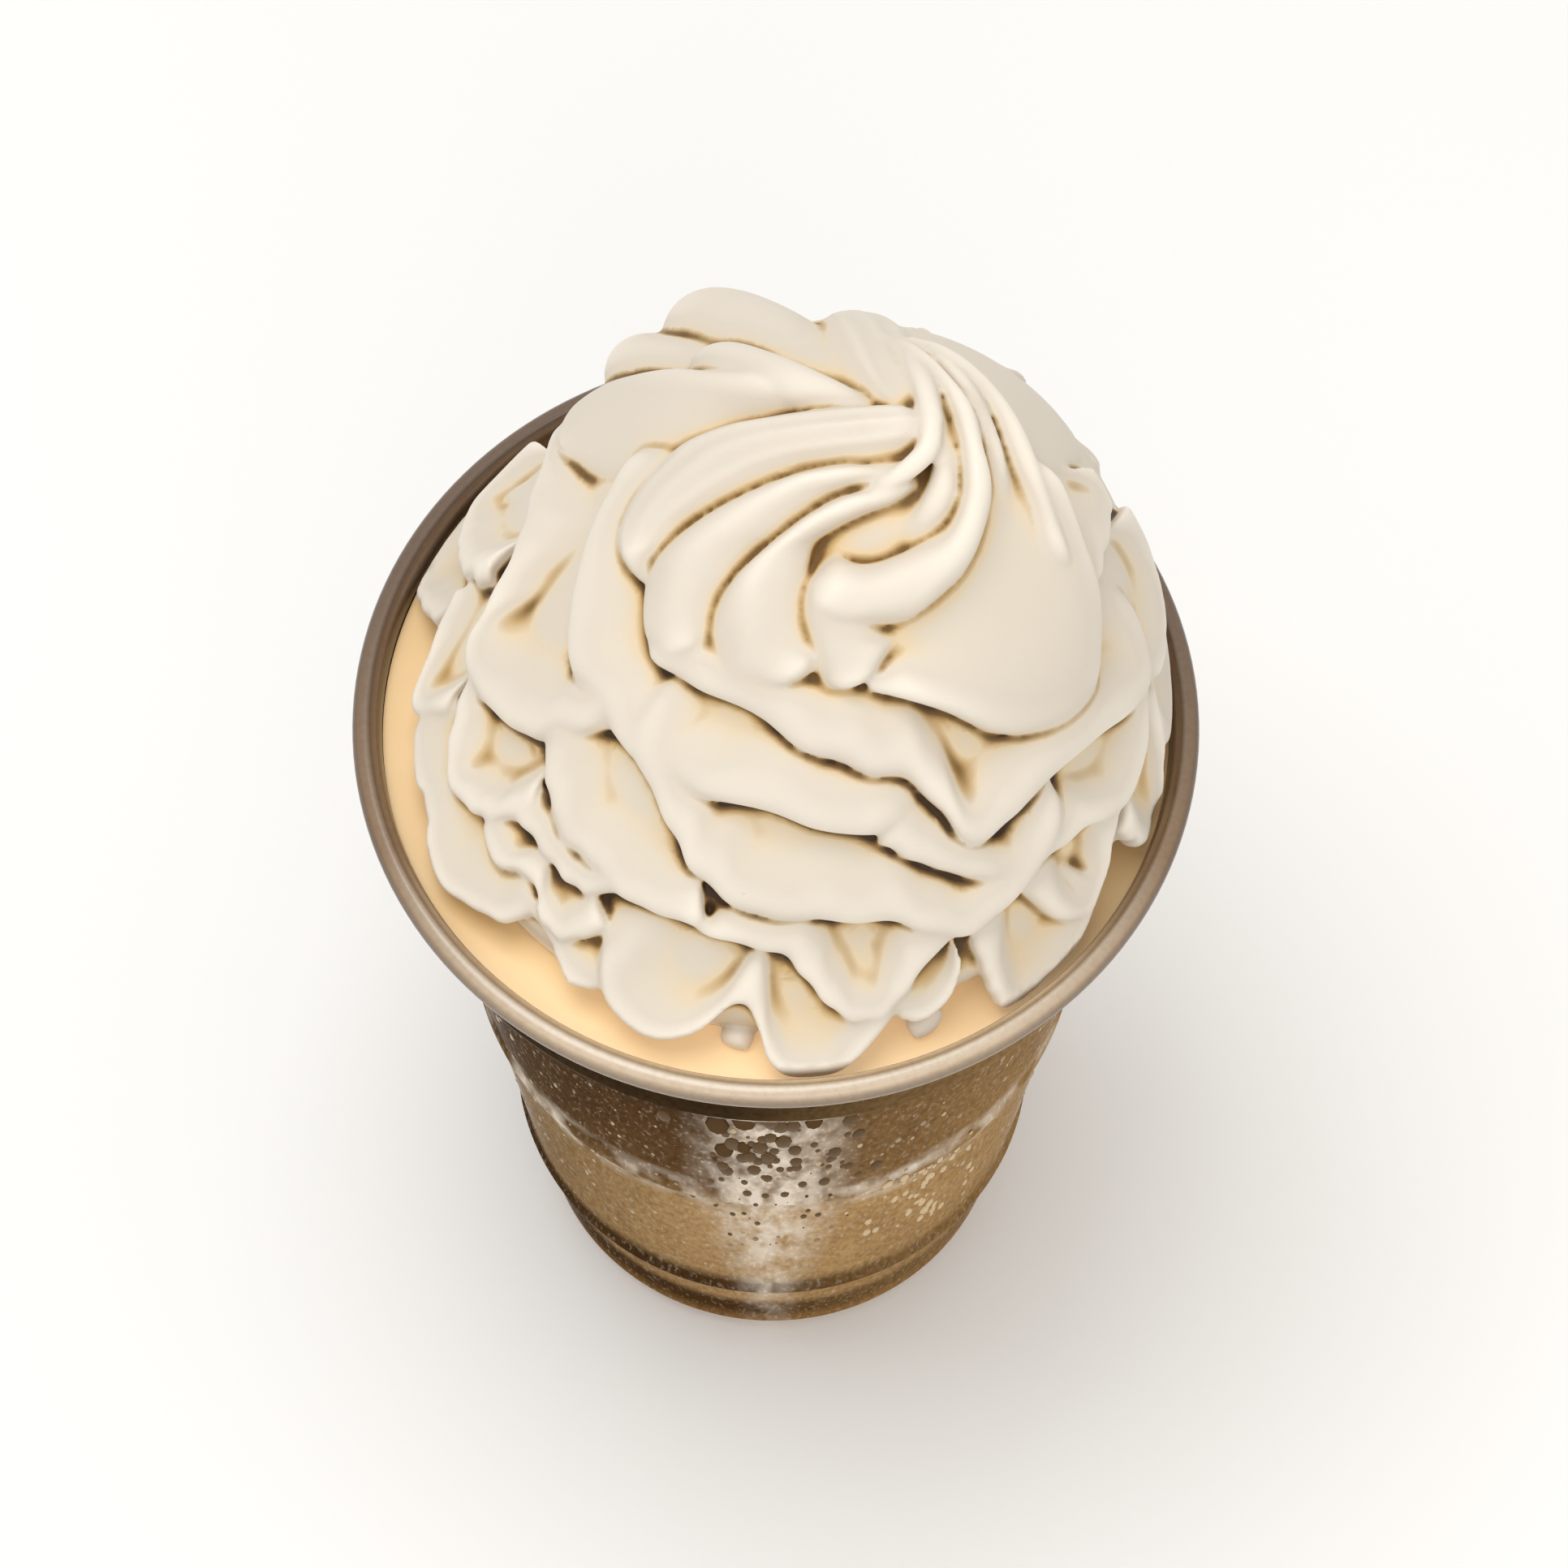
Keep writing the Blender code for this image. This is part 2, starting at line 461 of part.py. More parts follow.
def joined(name, grids, material, collection):
    """One mesh from grids whose rows are closed loops, each grid with both ends capped. The grids
    reach into each other; the even cells make one body of them."""
    points, faces, count = [], [], 0
    for grid in grids:
        rows, around = grid.shape[:2]
        points.append(grid.reshape(-1, 3))
        for i in range(rows - 1):
            for j in range(around):
                a, b = count + i * around, count + (i + 1) * around
                k = (j + 1) % around
                faces.append((a + j, a + k, b + k, b + j))
        faces.append(tuple(count + j for j in range(around)))
        faces.append(tuple(count + (rows - 1) * around + j for j in range(around))[::-1])
        count += rows * around
    mesh = bpy.data.meshes.new(name)
    mesh.from_pydata((np.vstack(points) * MM).tolist(), [], faces)
    mesh.validate()
    obj = bpy.data.objects.new(name, mesh)
    obj.data.materials.append(material)
    collection.objects.link(obj)
    return obj


def ring_profile(name, profile, material, collection):
    """A turned solid from its closed outline, given down the outer side and up the inner side."""
    mesh = bpy.data.meshes.new(name)
    closed = profile[0][0] > 0 or profile[-1][0] > 0
    edges = [(i, i + 1) for i in range(len(profile) - 1)]
    if closed:
        edges.append((len(profile) - 1, 0))
    mesh.from_pydata([(r * MM, 0, z * MM) for r, z in profile], edges, [])
    obj = bpy.data.objects.new(name, mesh)
    obj.data.materials.append(material)
    collection.objects.link(obj)
    turn = obj.modifiers.new("turn", "SCREW")
    turn.axis = "Z"
    turn.steps = turn.render_steps = TURN_STEPS
    turn.use_merge_vertices = True
    turn.merge_threshold = MERGE
    turn.use_normal_calculate = False
    turn.use_smooth_shade = True
    return obj


def arc(middle, radius, start, end, count):
    """Points of an arc in the profile plane, by angles in degrees from the outward direction."""
    return [
        (middle[0] + radius * math.cos(math.radians(t)), middle[1] + radius * math.sin(math.radians(t)))
        for t in np.linspace(start, end, count)
    ]


def wall_radius(z):
    """The outer radius of the plain tapered wall at a height."""
    return LEDGE_RADIUS + WALL_SLOPE * (z - LEDGE_Z)


def cup_outside():
    """The outline down the outside, from the inner edge of the rim's top to the push-up's middle."""
    bead = (RIM_RADIUS - BEAD_RADIUS, CUP_HEIGHT - BEAD_RADIUS)
    rib = [
        (wall_radius(z) + RIB_OUT * math.cos((z - RIB_Z) / RIB_HALF_HEIGHT * math.pi / 2), z)
        for z in np.linspace(RIB_Z + RIB_HALF_HEIGHT, RIB_Z - RIB_HALF_HEIGHT, RIB_STEPS)
    ]
    fillet, rise = SHOULDER_FILLET
    ledge = LEDGE_RADIUS + LEDGE_OUT
    over, under = LEDGE_EDGES
    return (
        arc(bead, BEAD_RADIUS, *BEAD_TURNS, BEAD_STEPS)
        + [BAND_TOP, BAND_FOOT, (BAND_FOOT[0] - BAND_TUCK[0], BAND_FOOT[1] - BAND_TUCK[1])]
        + [(wall_radius(SHOULDER_FOOT_Z) + fillet, SHOULDER_FOOT_Z + rise)]
        + [(wall_radius(SHOULDER_FOOT_Z - 1), SHOULDER_FOOT_Z - 1)]
        + rib
        + [(wall_radius(LEDGE_Z + LEDGE_BLEND), LEDGE_Z + LEDGE_BLEND)]
        + [(ledge, LEDGE_Z + over), (ledge, LEDGE_Z - under)]
        + [(LEDGE_RADIUS - LEDGE_FOOT[0], LEDGE_Z - LEDGE_FOOT[1])]
        + [(HEEL[0] + HEEL_TOP[0], HEEL[1] + HEEL_TOP[1])]
        + arc((HEEL[0] - HEEL_FILLET, HEEL[1]), HEEL_FILLET, *HEEL_TURNS, HEEL_STEPS)
        + [(FOOT_OUTER, 0), (FOOT_INNER, 0), PUSH_UP_FOOT]
        + [(PUSH_UP_RADIUS, PUSH_UP_Z - PUSH_UP_EDGE[1])]
        + [(PUSH_UP_RADIUS - PUSH_UP_EDGE[0], PUSH_UP_Z), (0, PUSH_UP_Z)]
    )


def cup_inside(extra=0.0):
    """The outline of the cavity from its middle up, a wall inside the outside, less any extra."""
    inset = WALL + extra
    floor_z = PUSH_UP_Z + inset
    under, over, blend = LEDGE_INSIDE
    return [
        (0, floor_z),
        (PUSH_UP_RADIUS - FLOOR_EDGE[0], floor_z),
        (HEEL[0] - HEEL_FILLET - inset, floor_z + FLOOR_EDGE[1]),
        (HEEL[0] - inset - HEEL_INSIDE[0], HEEL[1] + HEEL_INSIDE[1] + extra),
        (LEDGE_RADIUS - under[0] - inset, LEDGE_Z - under[1]),
        (LEDGE_RADIUS + over[0] - inset, LEDGE_Z + over[1]),
        (wall_radius(LEDGE_Z + blend) - inset, LEDGE_Z + blend),
        (wall_radius(RIB_Z) - inset, RIB_Z),
        (wall_radius(SHOULDER_FOOT_Z - 1) - inset, SHOULDER_FOOT_Z - 1),
        (wall_radius(SHOULDER_FOOT_Z) + SHOULDER_FILLET[0] - inset,
         SHOULDER_FOOT_Z + SHOULDER_INSIDE),
        (BAND_FOOT[0] - BAND_TUCK[0] - inset, BAND_FOOT[1]),
        (BAND_FOOT[0] + BAND_INSIDE[0] - inset, BAND_FOOT[1] + BAND_INSIDE[1]),
    ]


def cup(material, collection):
    top = (BAND_TOP[0] - WALL, BAND_TOP[1] + MOUTH_RISE)
    profile = cup_outside() + cup_inside() + [top]
    return ring_profile("cup", profile, material, collection)


def drink(material, collection):
    """The milkshake up to its level, a gap inside the cup."""
    side = cup_inside(GAP)
    inset = WALL + GAP
    share = (DRINK_LEVEL - BAND_FOOT[1]) / (BAND_TOP[1] - BAND_FOOT[1])
    edge = BAND_FOOT[0] + share * (BAND_TOP[0] - BAND_FOOT[0]) - inset
    profile = [(0, DRINK_LEVEL), (edge, DRINK_LEVEL)] + side[::-1]
    return ring_profile("milkshake", profile, material, collection)


def keep_largest(obj):
    """Drops loose scraps and sealed hollows: only the body with the most points stays."""
    shape = bmesh.new()
    shape.from_mesh(obj.data)
    left = set(shape.verts)
    bodies = []
    while left:
        stack = [left.pop()]
        body = set(stack)
        while stack:
            for edge in stack.pop().link_edges:
                for vert in edge.verts:
                    if vert not in body:
                        body.add(vert)
                        stack.append(vert)
        left -= body
        bodies.append(body)
    bodies.sort(key=len)
    bmesh.ops.delete(shape, geom=[v for body in bodies[:-1] for v in body], context="VERTS")
    shape.to_mesh(obj.data)
    shape.free()


def apply_modifiers(obj):
    graph = bpy.context.evaluated_depsgraph_get()
    mesh = bpy.data.meshes.new_from_object(obj.evaluated_get(graph))
    obj.modifiers.clear()
    obj.data = mesh


def even_out(cream):
    """Even cells over the joined petals, then as few triangles as keep the folds."""
    cells = cream.modifiers.new("cells", "REMESH")
    cells.mode = "VOXEL"
    cells.voxel_size = CELL * MM
    apply_modifiers(cream)
    keep_largest(cream)
    fewer = cream.modifiers.new("fewer", "DECIMATE")
    fewer.ratio = CREAM_TRIANGLES / (2 * len(cream.data.polygons))
    fewer.use_collapse_triangulate = True
    apply_modifiers(cream)


def trim_to_cup(cream, cutters, material):
    """Keeps the cream above the drink, and inside the rim where it stands lower than the rim."""
    profile = [
        (0, DOME_TIP_Z + ROOM_TOP), (CREAM_RIM_RADIUS, DOME_TIP_Z + ROOM_TOP),
        (CREAM_RIM_RADIUS, CUP_HEIGHT + ROOM_STEP),
        (CREAM_CLEAR_RADIUS, CUP_HEIGHT + GAP), (CREAM_CLEAR_RADIUS, DRINK_LEVEL + GAP),
        (0, DRINK_LEVEL + GAP),
    ]
    room = ring_profile("cream_room", profile, material, cutters)
    room.hide_render = True
    room.display_type = "WIRE"
    trim = cream.modifiers.new("trim", "BOOLEAN")
    trim.operation = "INTERSECT"
    trim.object = room
    trim.solver = "MANIFOLD"


def whipped_cream(material, collection, cutters):
    grids = [core_grid()]
    grids += [petal_grid(*petal) for petal in (*PETALS.values(), *back_petals())]
    grids += [lobe_grid(*lobe) for lobe in LOBES.values()]
    grids += [strand_grid(strand) for strand in STRANDS.values()]
    grids += [knob_grid(*knob) for knob in KNOBS.values()]
    cream = joined("whipped_cream", grids, material, collection)
    even_out(cream)
    trim_to_cup(cream, cutters, material)
    apply_modifiers(cream)
    keep_largest(cream)
    cream.data.shade_smooth()


def finish(name, colour, roughness):
    """A plain material in the part's own colour."""
    material = bpy.data.materials.new(name)
    material.use_nodes = True
    shader = material.node_tree.nodes["Principled BSDF"]
    shader.inputs["Base Color"].default_value = (*colour, 1)
    shader.inputs["Roughness"].default_value = roughness
    material.diffuse_color = (*colour, 1)
    return material


def main():
    for obj in list(bpy.data.objects):
        bpy.data.objects.remove(obj)
    part = bpy.data.collections.new("milkshake_in_cup")
    cutters = bpy.data.collections.new("cutters")
    for collection in (part, cutters):
        bpy.context.scene.collection.children.link(collection)
    cup(finish("clear_plastic", *CLEAR_PLASTIC), part)
    drink(finish("milkshake", *MILKSHAKE), part)
    whipped_cream(finish("cream", *CREAM), part, cutters)


main()
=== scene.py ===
import math

import bmesh
import bpy
import numpy as np
from mathutils import Matrix, Vector


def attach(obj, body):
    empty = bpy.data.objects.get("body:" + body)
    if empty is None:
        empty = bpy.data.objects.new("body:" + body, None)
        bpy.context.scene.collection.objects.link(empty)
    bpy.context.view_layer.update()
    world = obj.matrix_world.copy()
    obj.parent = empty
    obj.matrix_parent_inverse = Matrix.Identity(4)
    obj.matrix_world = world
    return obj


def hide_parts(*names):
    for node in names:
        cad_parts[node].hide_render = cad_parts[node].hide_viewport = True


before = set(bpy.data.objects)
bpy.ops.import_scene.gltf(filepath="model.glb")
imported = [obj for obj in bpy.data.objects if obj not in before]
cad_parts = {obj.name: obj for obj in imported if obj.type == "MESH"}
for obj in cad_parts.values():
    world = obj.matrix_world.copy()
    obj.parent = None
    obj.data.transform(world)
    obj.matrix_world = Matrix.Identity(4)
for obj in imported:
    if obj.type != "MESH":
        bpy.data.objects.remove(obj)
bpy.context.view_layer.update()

# A milkshake in a clear plastic cup, under a tall swirl of whipped cream. Lengths are in
# millimetres until a mesh is made. The origin is the middle of the cup's foot, +Z is up and the
# front faces -Y.
MM = 0.001

# ---------------------------------------------------------------- sizes of the cup and the drink
CUP_HEIGHT = 120.0
WALL = 0.8
RIM_RADIUS = 49.0
BEAD_RADIUS = 1.6
BAND_TOP = (46.5, 116.4)
BAND_FOOT = (45.6, 106.0)
SHOULDER_FOOT_Z = 103.0
LEDGE_Z = 21.9
LEDGE_RADIUS = 32.7
LEDGE_OUT = 0.7
WALL_SLOPE = 0.11
RIB_Z = 62.0
RIB_HALF_HEIGHT = 2.2
RIB_OUT = 0.5
HEEL = (30.3, 4.2)
HEEL_FILLET = 2.2
FOOT_OUTER = 28.4
FOOT_INNER = 26.4
PUSH_UP_RADIUS = 23.5
PUSH_UP_Z = 3.0
DRINK_LEVEL = 116.4
INTO_WALL = 0.35
TURN_STEPS = 160

# ---------------------------------------------------------------- finish of the cup and the drink
# A fade is the way in millimetres over which something goes from 0 to 1, and a middle is its
# value on the cup's axis. The fade of the painted golden light runs to the right and the fade of
# the painted shade to the left, and the others run to the front.
PAINTED_LIGHT_FADE, PAINTED_LIGHT_MIDDLE = 50.0, 0.1
PAINTED_SHADE_FADE = 60.0
FRONT_FADE = 22.0
# The painted glow on the drink's top, fading in toward the front.
FRONT_GLOW_FADE, FRONT_GLOW_MIDDLE = 16.0, -1.6
RIM_LIGHT_FADE, RIM_LIGHT_MIDDLE = 60.0, 0.3
# The mottle on the drink's side: the size of its lumps and its share, fine and wide.
FINE_MOTTLE = (0.7, 0.7)
WIDE_MOTTLE = (7.0, 0.3)
MOTTLE_SHARE = 0.55
SWIRL_SIZE = 14.0
TOP_EDGE = 0.15
DRINK_GLOSS = 0.5
PAINTED_FRONT_GLOW = 0.26
# The rim: where its tint starts, the radii between which its rings of painted highlight and shade
# lie, and its mottle.
RIM_TINT_Z = 117.0
RIM_HIGHLIGHT_RINGS = (45.7, 49.0)
RIM_HIGHLIGHT_RINGS_SHARE = 0.85
RIM_MOTTLE_SIZE = 0.8
RIM_MOTTLE_SHARE = 0.15
# The pale patch in front, partly fog and partly a painted reflection: a height and its half width
# there, low down and high up.
FOG_GLARE_LOW = (8.0, 3.6)
FOG_GLARE_HIGH = (62.0, 11.0)
FOG_GLARE_EDGE = 8.0
# Lumps of the front patch and the painted highlight streaks on the rib: their size, the value they
# start at, and contrast.
FOG_GLARE_LUMPS = (2.4, 0.26, 2.6)
RIB_STREAKS = (5.0, 0.38, 3)
# The strength of the painted highlight on the rib and the way in millimetres over which it fades.
RIB_HIGHLIGHT, RIB_HIGHLIGHT_FADE = 1.3, 5.0
MIST_GRAIN = 0.6
MIST_CONTRAST = 2.4
MIST_START = 1.32
MIST_SHARE = 0.5
RUN_DOWN = 2.4
WALL_CLEAR = 0.2
WALL_IOR, RIM_IOR = 1.01, 1.5
WALL_GLOSS, RIM_GLOSS = 0.12, 0.5
WALL_ROUGHNESS, FOG_ROUGHNESS, RIM_ROUGHNESS = 0.05, 0.4, 0.15

# ---------------------------------------------------------------- sizes of the condensed drops
DEW_SEED = 3
DEW_COUNT = 2200
DEW_RADII = (0.10, 0.45)
DEW_SMALLNESS = 4
DEW_HEIGHT = 0.45
DEW_SINK = 0.05
DEW_SIDES = 8
DEW_RINGS = (0.0, 0.35, 0.7)
DEW_SPAN = (LEDGE_Z + 3, SHOULDER_FOOT_Z - 2)
DEW_TINTS = (0.3, 0.8)
DEW_CLEAR = 0.3
# Drops in the fog patch: how far they scatter in radians and millimetres, their radii, the
# height at which they would shrink away, the way up over which they grow, and the least share.
FOG_DROPS = 110
FOG_DROPS_TURN = 0.13
FOG_DROPS_Z = 80.0
FOG_DROPS_SPREAD = 16.0
FOG_DROPS_LOWEST = LEDGE_Z + 6
FOG_DROPS_RADII = (0.25, 1.2)
FOG_DROPS_SHRINK = (30, 60, 0.3)
FOG_DROPS_TINT = 0.05
# Drops low on the right, tinted golden as painted glints: the middle and scatter of their turn
# from the front, in radians.
GLINTS = 60
GLINT_TURN = (0.55, 0.12)
GLINT_SPAN = (LEDGE_Z + 12, RIB_Z + 2)
GLINT_RADII = (0.25, 0.65)
# The largest drops: azimuth, height and radius.
BIG_DROPS = ((261.0, 92.0, 1.5), (265.5, 95.0, 1.6), (261.8, 82.0, 1.2), (265.2, 84.0, 1.0),
             (270.5, 98.0, 0.9), (277.0, 94.0, 1.1))

# ---------------------------------------------------------------- sizes of the cream
DOME_FOOT_Z = 118.0
DOME_TIP_Z = 170.0
DOME_RADIUS = 42.0
DOME_FULLNESS = 1.1
DOME_ROUNDNESS = 0.62
LEAN = (16.0, 8.0)
FLARE = 22.0
FLARE_LEVEL = 0.85
FLARE_CURVE = 1.5
LEVEL_MOST = 1.3
FOOT_REST_Z = 116.9
FOOT_BEND = 2.0
# The core: how deep it lies below the dome, inside and at its edge, and the levels it spans.
CORE_DEPTH = (-0.3, 7.0)
CORE_EDGE = 0.87
CORE_SPAN = (0.03, 0.98)
CORE_BELOW = 8.0
CORE_LEVELS = 40
CORE_TURNS = 96
CURVE_STEPS = 400
LOBE_LEAST_HALF = 0.3
LOBE_STEPS = 90
LOBE_ACROSS = 36
LOBE_ARCH = (2.4, 0.95)
LOBE_SLOPE = 0.9
LOBE_SOFT_PEAK = 0.22
LOBE_OVERLAP = 0.25
LOBE_START = 0.10
LOBE_START_SINK = 0.6
STRIPE_DEPTH = 0.8
STRIPE_RISE = 0.05
PETAL_UNDERSIDE = 7.0
END_SINK = 0.8
END_SHARE = 0.14
END_REACH = 0.10
# A petal's lip wobbles by a few sine waves, each with its own count of radians and its start.
LIP_WOBBLE = 0.10
WOBBLE_WAVES = 4
WOBBLE_LENGTHS = (20, 90)
WOBBLE_STARTS = (0, 6)
WOBBLE_FADE = 4
ARC = 66.0
LIP_STEPS = 72
RISE_STEPS = 32
RISE_CROWDING = 1.5
NOSE_STEPS = 14
NOSE_ARC = (8, 170)
NOSE_JOIN = 1.2
TUCK = 0.7
LIP_REACH = 1.1
LIP_MOST = 0.4
HEART_REACH = 0.97
UNDER_SHARES = (0.3, 0.7, 1.0)
# A tube: how blunt its ends are and how thin they get, and its steps along and around.
TUBE_BLUNTNESS = 8
TUBE_THINNEST = 0.01
STRAND_STEPS = (64, 20)
KNOB_STEPS = (48, 24)
CELL = 0.36
SOFTEN_FACTOR = 0.5
SOFTEN_PASSES = 7
MOST_TRIANGLES = 190000
# Creases and hollows: how many times a point moves to the mean of its neighbours, how many
# millimetres of depth count as full, and the shares of a point and of its neighbours' mean.
CREASE_PASSES, CREASE_FULL = 14, 0.135
HOLLOW_PASSES, HOLLOW_FULL, HOLLOW_REST = 75, 2.2, 0.5
DEPTH_PASSES = 10
PLACE_MIX = (0.4, 0.6)
DEPTH_MIX = (0.3, 0.7)
# The painted shade in creases is full between these heights and fades to the least at the foot and
# the top.
CREASE_SHADE_FOOT = (124.0, 134.0)
CREASE_SHADE_TOP = (146.0, 160.0)
CREASE_SHADE_LEAST = 0.70
# How far light goes into the foam.
GLOW_DEPTH = 0.6
# The room that the cream may fill: inside the rim up to its top, and a little wider above it.
CREAM_CLEAR_RADIUS = 45.0
CREAM_RIM_RADIUS = 48.6
CREAM_LOWEST = DRINK_LEVEL - 0.1
CREAM_OVER_RIM = CUP_HEIGHT + 0.3
CREAM_WIDE_FROM = CUP_HEIGHT + 3
CREAM_CEILING = DOME_TIP_Z + 20
ROOM_STEPS = 96

# Each petal: its heart, how far its lip stands off the dome, how far its inside does, the lip's
# half thickness, the way from the lip over which it falls to the inside, and the lip's places.
PETALS = {
    "lobe_base": ((300, 0.18), 1.6, 1.4, 1.2, 12, (
        (262, 0.36), (278, 0.38), (292, 0.43), (306, 0.50), (318, 0.54), (329, 0.53),
        (338, 0.44), (346, 0.33), (0, 0.20), (46, 0.13))),
    "leaf_back_right": ((40, 0.10), 0.6, 0.2, 1.4, 12, (
        (96, 0.36), (80, 0.46), (62, 0.50), (46, 0.52), (36, 0.52), (28, 0.51), (20, 0.46),
        (12, 0.39), (2, 0.32))),
    "band_2": ((285, 0.18), 3.4, 0.2, 2.4, 10, (
        (206, 0.44), (216, 0.46), (228, 0.45), (240, 0.44), (256, 0.46), (270, 0.48),
        (281, 0.50), (289, 0.55), (295, 0.615), (301, 0.615), (307, 0.60), (322, 0.59),
        (335, 0.63), (345, 0.66), (355, 0.60))),
    "band_3": ((250, 0.20), 3.3, 0.2, 2.2, 10, (
        (160, 0.44), (170, 0.45), (183, 0.49), (195, 0.53), (206, 0.56), (220, 0.56),
        (230, 0.565), (238, 0.565), (244, 0.56), (257, 0.55), (267, 0.56), (276, 0.57),
        (286, 0.57))),
    "band_3_right": ((305, 0.40), 3.0, 0.2, 2.0, 9, (
        (278, 0.58), (286, 0.62), (296, 0.67), (306, 0.71), (318, 0.71), (330, 0.76),
        (338, 0.74), (344, 0.65))),
    "fold_left_1": ((185, 0.40), 3.4, 0.2, 2.5, 12, (
        (140, 0.70), (160, 0.62), (172, 0.62), (181, 0.68), (186, 0.73), (195, 0.72),
        (206, 0.67), (213, 0.62), (220, 0.56))),
    "fold_left_2": ((158, 0.55), 3.0, 0.2, 2.3, 10, (
        (138, 0.84), (146, 0.93), (156, 0.86), (166, 0.79), (174, 0.70))),
    "fold_left_3": ((160, 0.65), 1.8, 0.2, 1.4, 10, (
        (136, 1.02), (146, 1.08), (155, 1.08), (163, 0.98), (171, 0.86), (173, 0.78))),
    "fold_left_4": ((178, 0.60), 2.2, 0.2, 1.7, 9, (
        (170, 0.80), (176, 0.85), (182, 0.92), (186, 0.90), (190, 0.82))),
    "drape_left_1": ((205, 0.58), 2.8, 0.2, 2.1, 9, (
        (188, 0.72), (193, 0.79), (200, 0.85), (205, 0.84), (211, 0.81), (217, 0.74))),
    "drape_left_2": ((225, 0.58), 2.8, 0.2, 2.1, 9, (
        (212, 0.76), (219, 0.76), (226, 0.77), (232, 0.77), (238, 0.73))),
    "drape_front_1": ((232, 0.50), 3.0, 0.2, 2.2, 10, (
        (206, 0.60), (211, 0.65), (217, 0.69), (224, 0.72), (232, 0.73),
        (243, 0.74), (252, 0.73))),
    "band_4": ((260, 0.22), 3.5, 0.2, 2.5, 11, (
        (220, 0.54), (230, 0.575), (240, 0.615), (248, 0.66), (258, 0.69), (271, 0.69),
        (284, 0.71), (294, 0.76), (302, 0.75), (309, 0.71), (316, 0.66))),
    "foot_left_1": ((205, 0.70), 1.8, 0.2, 1.3, 12, (
        (184, 0.84), (187, 0.92), (194, 0.95), (199, 0.94), (204, 0.98), (210, 1.01),
        (217, 0.97), (223, 0.93), (226, 0.86))),
    "foot_left_2": ((222, 0.70), 2.4, 0.2, 1.7, 8, (
        (210, 0.82), (215, 0.855), (220, 0.83), (224, 0.82), (228, 0.865), (232, 0.875),
        (235, 0.85), (238, 0.80))),
    "foot_left_3": ((233, 0.72), 1.5, 0.2, 1.2, 10, (
        (224, 0.87), (231, 0.90), (235, 0.94), (238, 0.95), (241, 0.92), (243, 0.86))),
    "foot_front": ((262, 0.66), 2.4, 0.2, 1.6, 12, (
        (236, 0.78), (239, 0.87), (243, 0.94), (248, 0.98), (253, 0.985), (257, 0.94), (260, 0.87),
        (263, 0.86), (266, 0.91), (269, 0.99), (274, 1.06), (280, 1.07), (283, 1.01),
        (286, 0.91), (289, 0.84))),
    "drape_front_2": ((272, 0.58), 2.8, 0.2, 2.0, 11, (
        (250, 0.74), (258, 0.745), (265, 0.75), (270, 0.79), (275, 0.85), (280, 0.895),
        (284, 0.90), (287, 0.85), (290, 0.79), (295, 0.76))),
    "foot_front_3": ((292, 0.72), 2.0, 0.2, 1.5, 9, (
        (284, 0.84), (287, 0.91), (291, 0.94), (295, 0.91), (296, 0.83))),
    "foot_right_1": ((307, 0.68), 2.4, 0.2, 1.6, 12, (
        (296, 0.76), (300, 0.86), (303, 0.96), (308, 1.07), (313, 1.10), (317, 1.07),
        (321, 0.99), (324, 0.88))),
    "fold_right_1": ((316, 0.66), 2.6, 0.2, 1.8, 10, (
        (306, 0.74), (314, 0.86), (321, 0.93), (325, 0.88), (327, 0.81), (330, 0.76))),
    "fold_right_2": ((338, 0.65), 2.6, 0.2, 1.8, 11, (
        (330, 0.83), (335, 0.93), (340, 1.02), (345, 1.05), (347, 0.93), (347, 0.80),
        (348, 0.68))),
    "fold_right_3": ((5, 0.30), 2.2, 0.2, 1.6, 9, (
        (14, 0.44), (8, 0.48), (357, 0.46), (346, 0.45), (338, 0.44))),
    "fold_right_4": ((355, 0.45), 2.6, 0.2, 1.8, 10, (
        (342, 0.62), (350, 0.70), (0, 0.72), (8, 0.68), (14, 0.56))),
    "fold_right_5": ((0, 0.68), 2.4, 0.2, 1.8, 10, (
        (344, 0.80), (352, 0.92), (2, 0.95), (10, 0.92), (18, 0.84))),
}
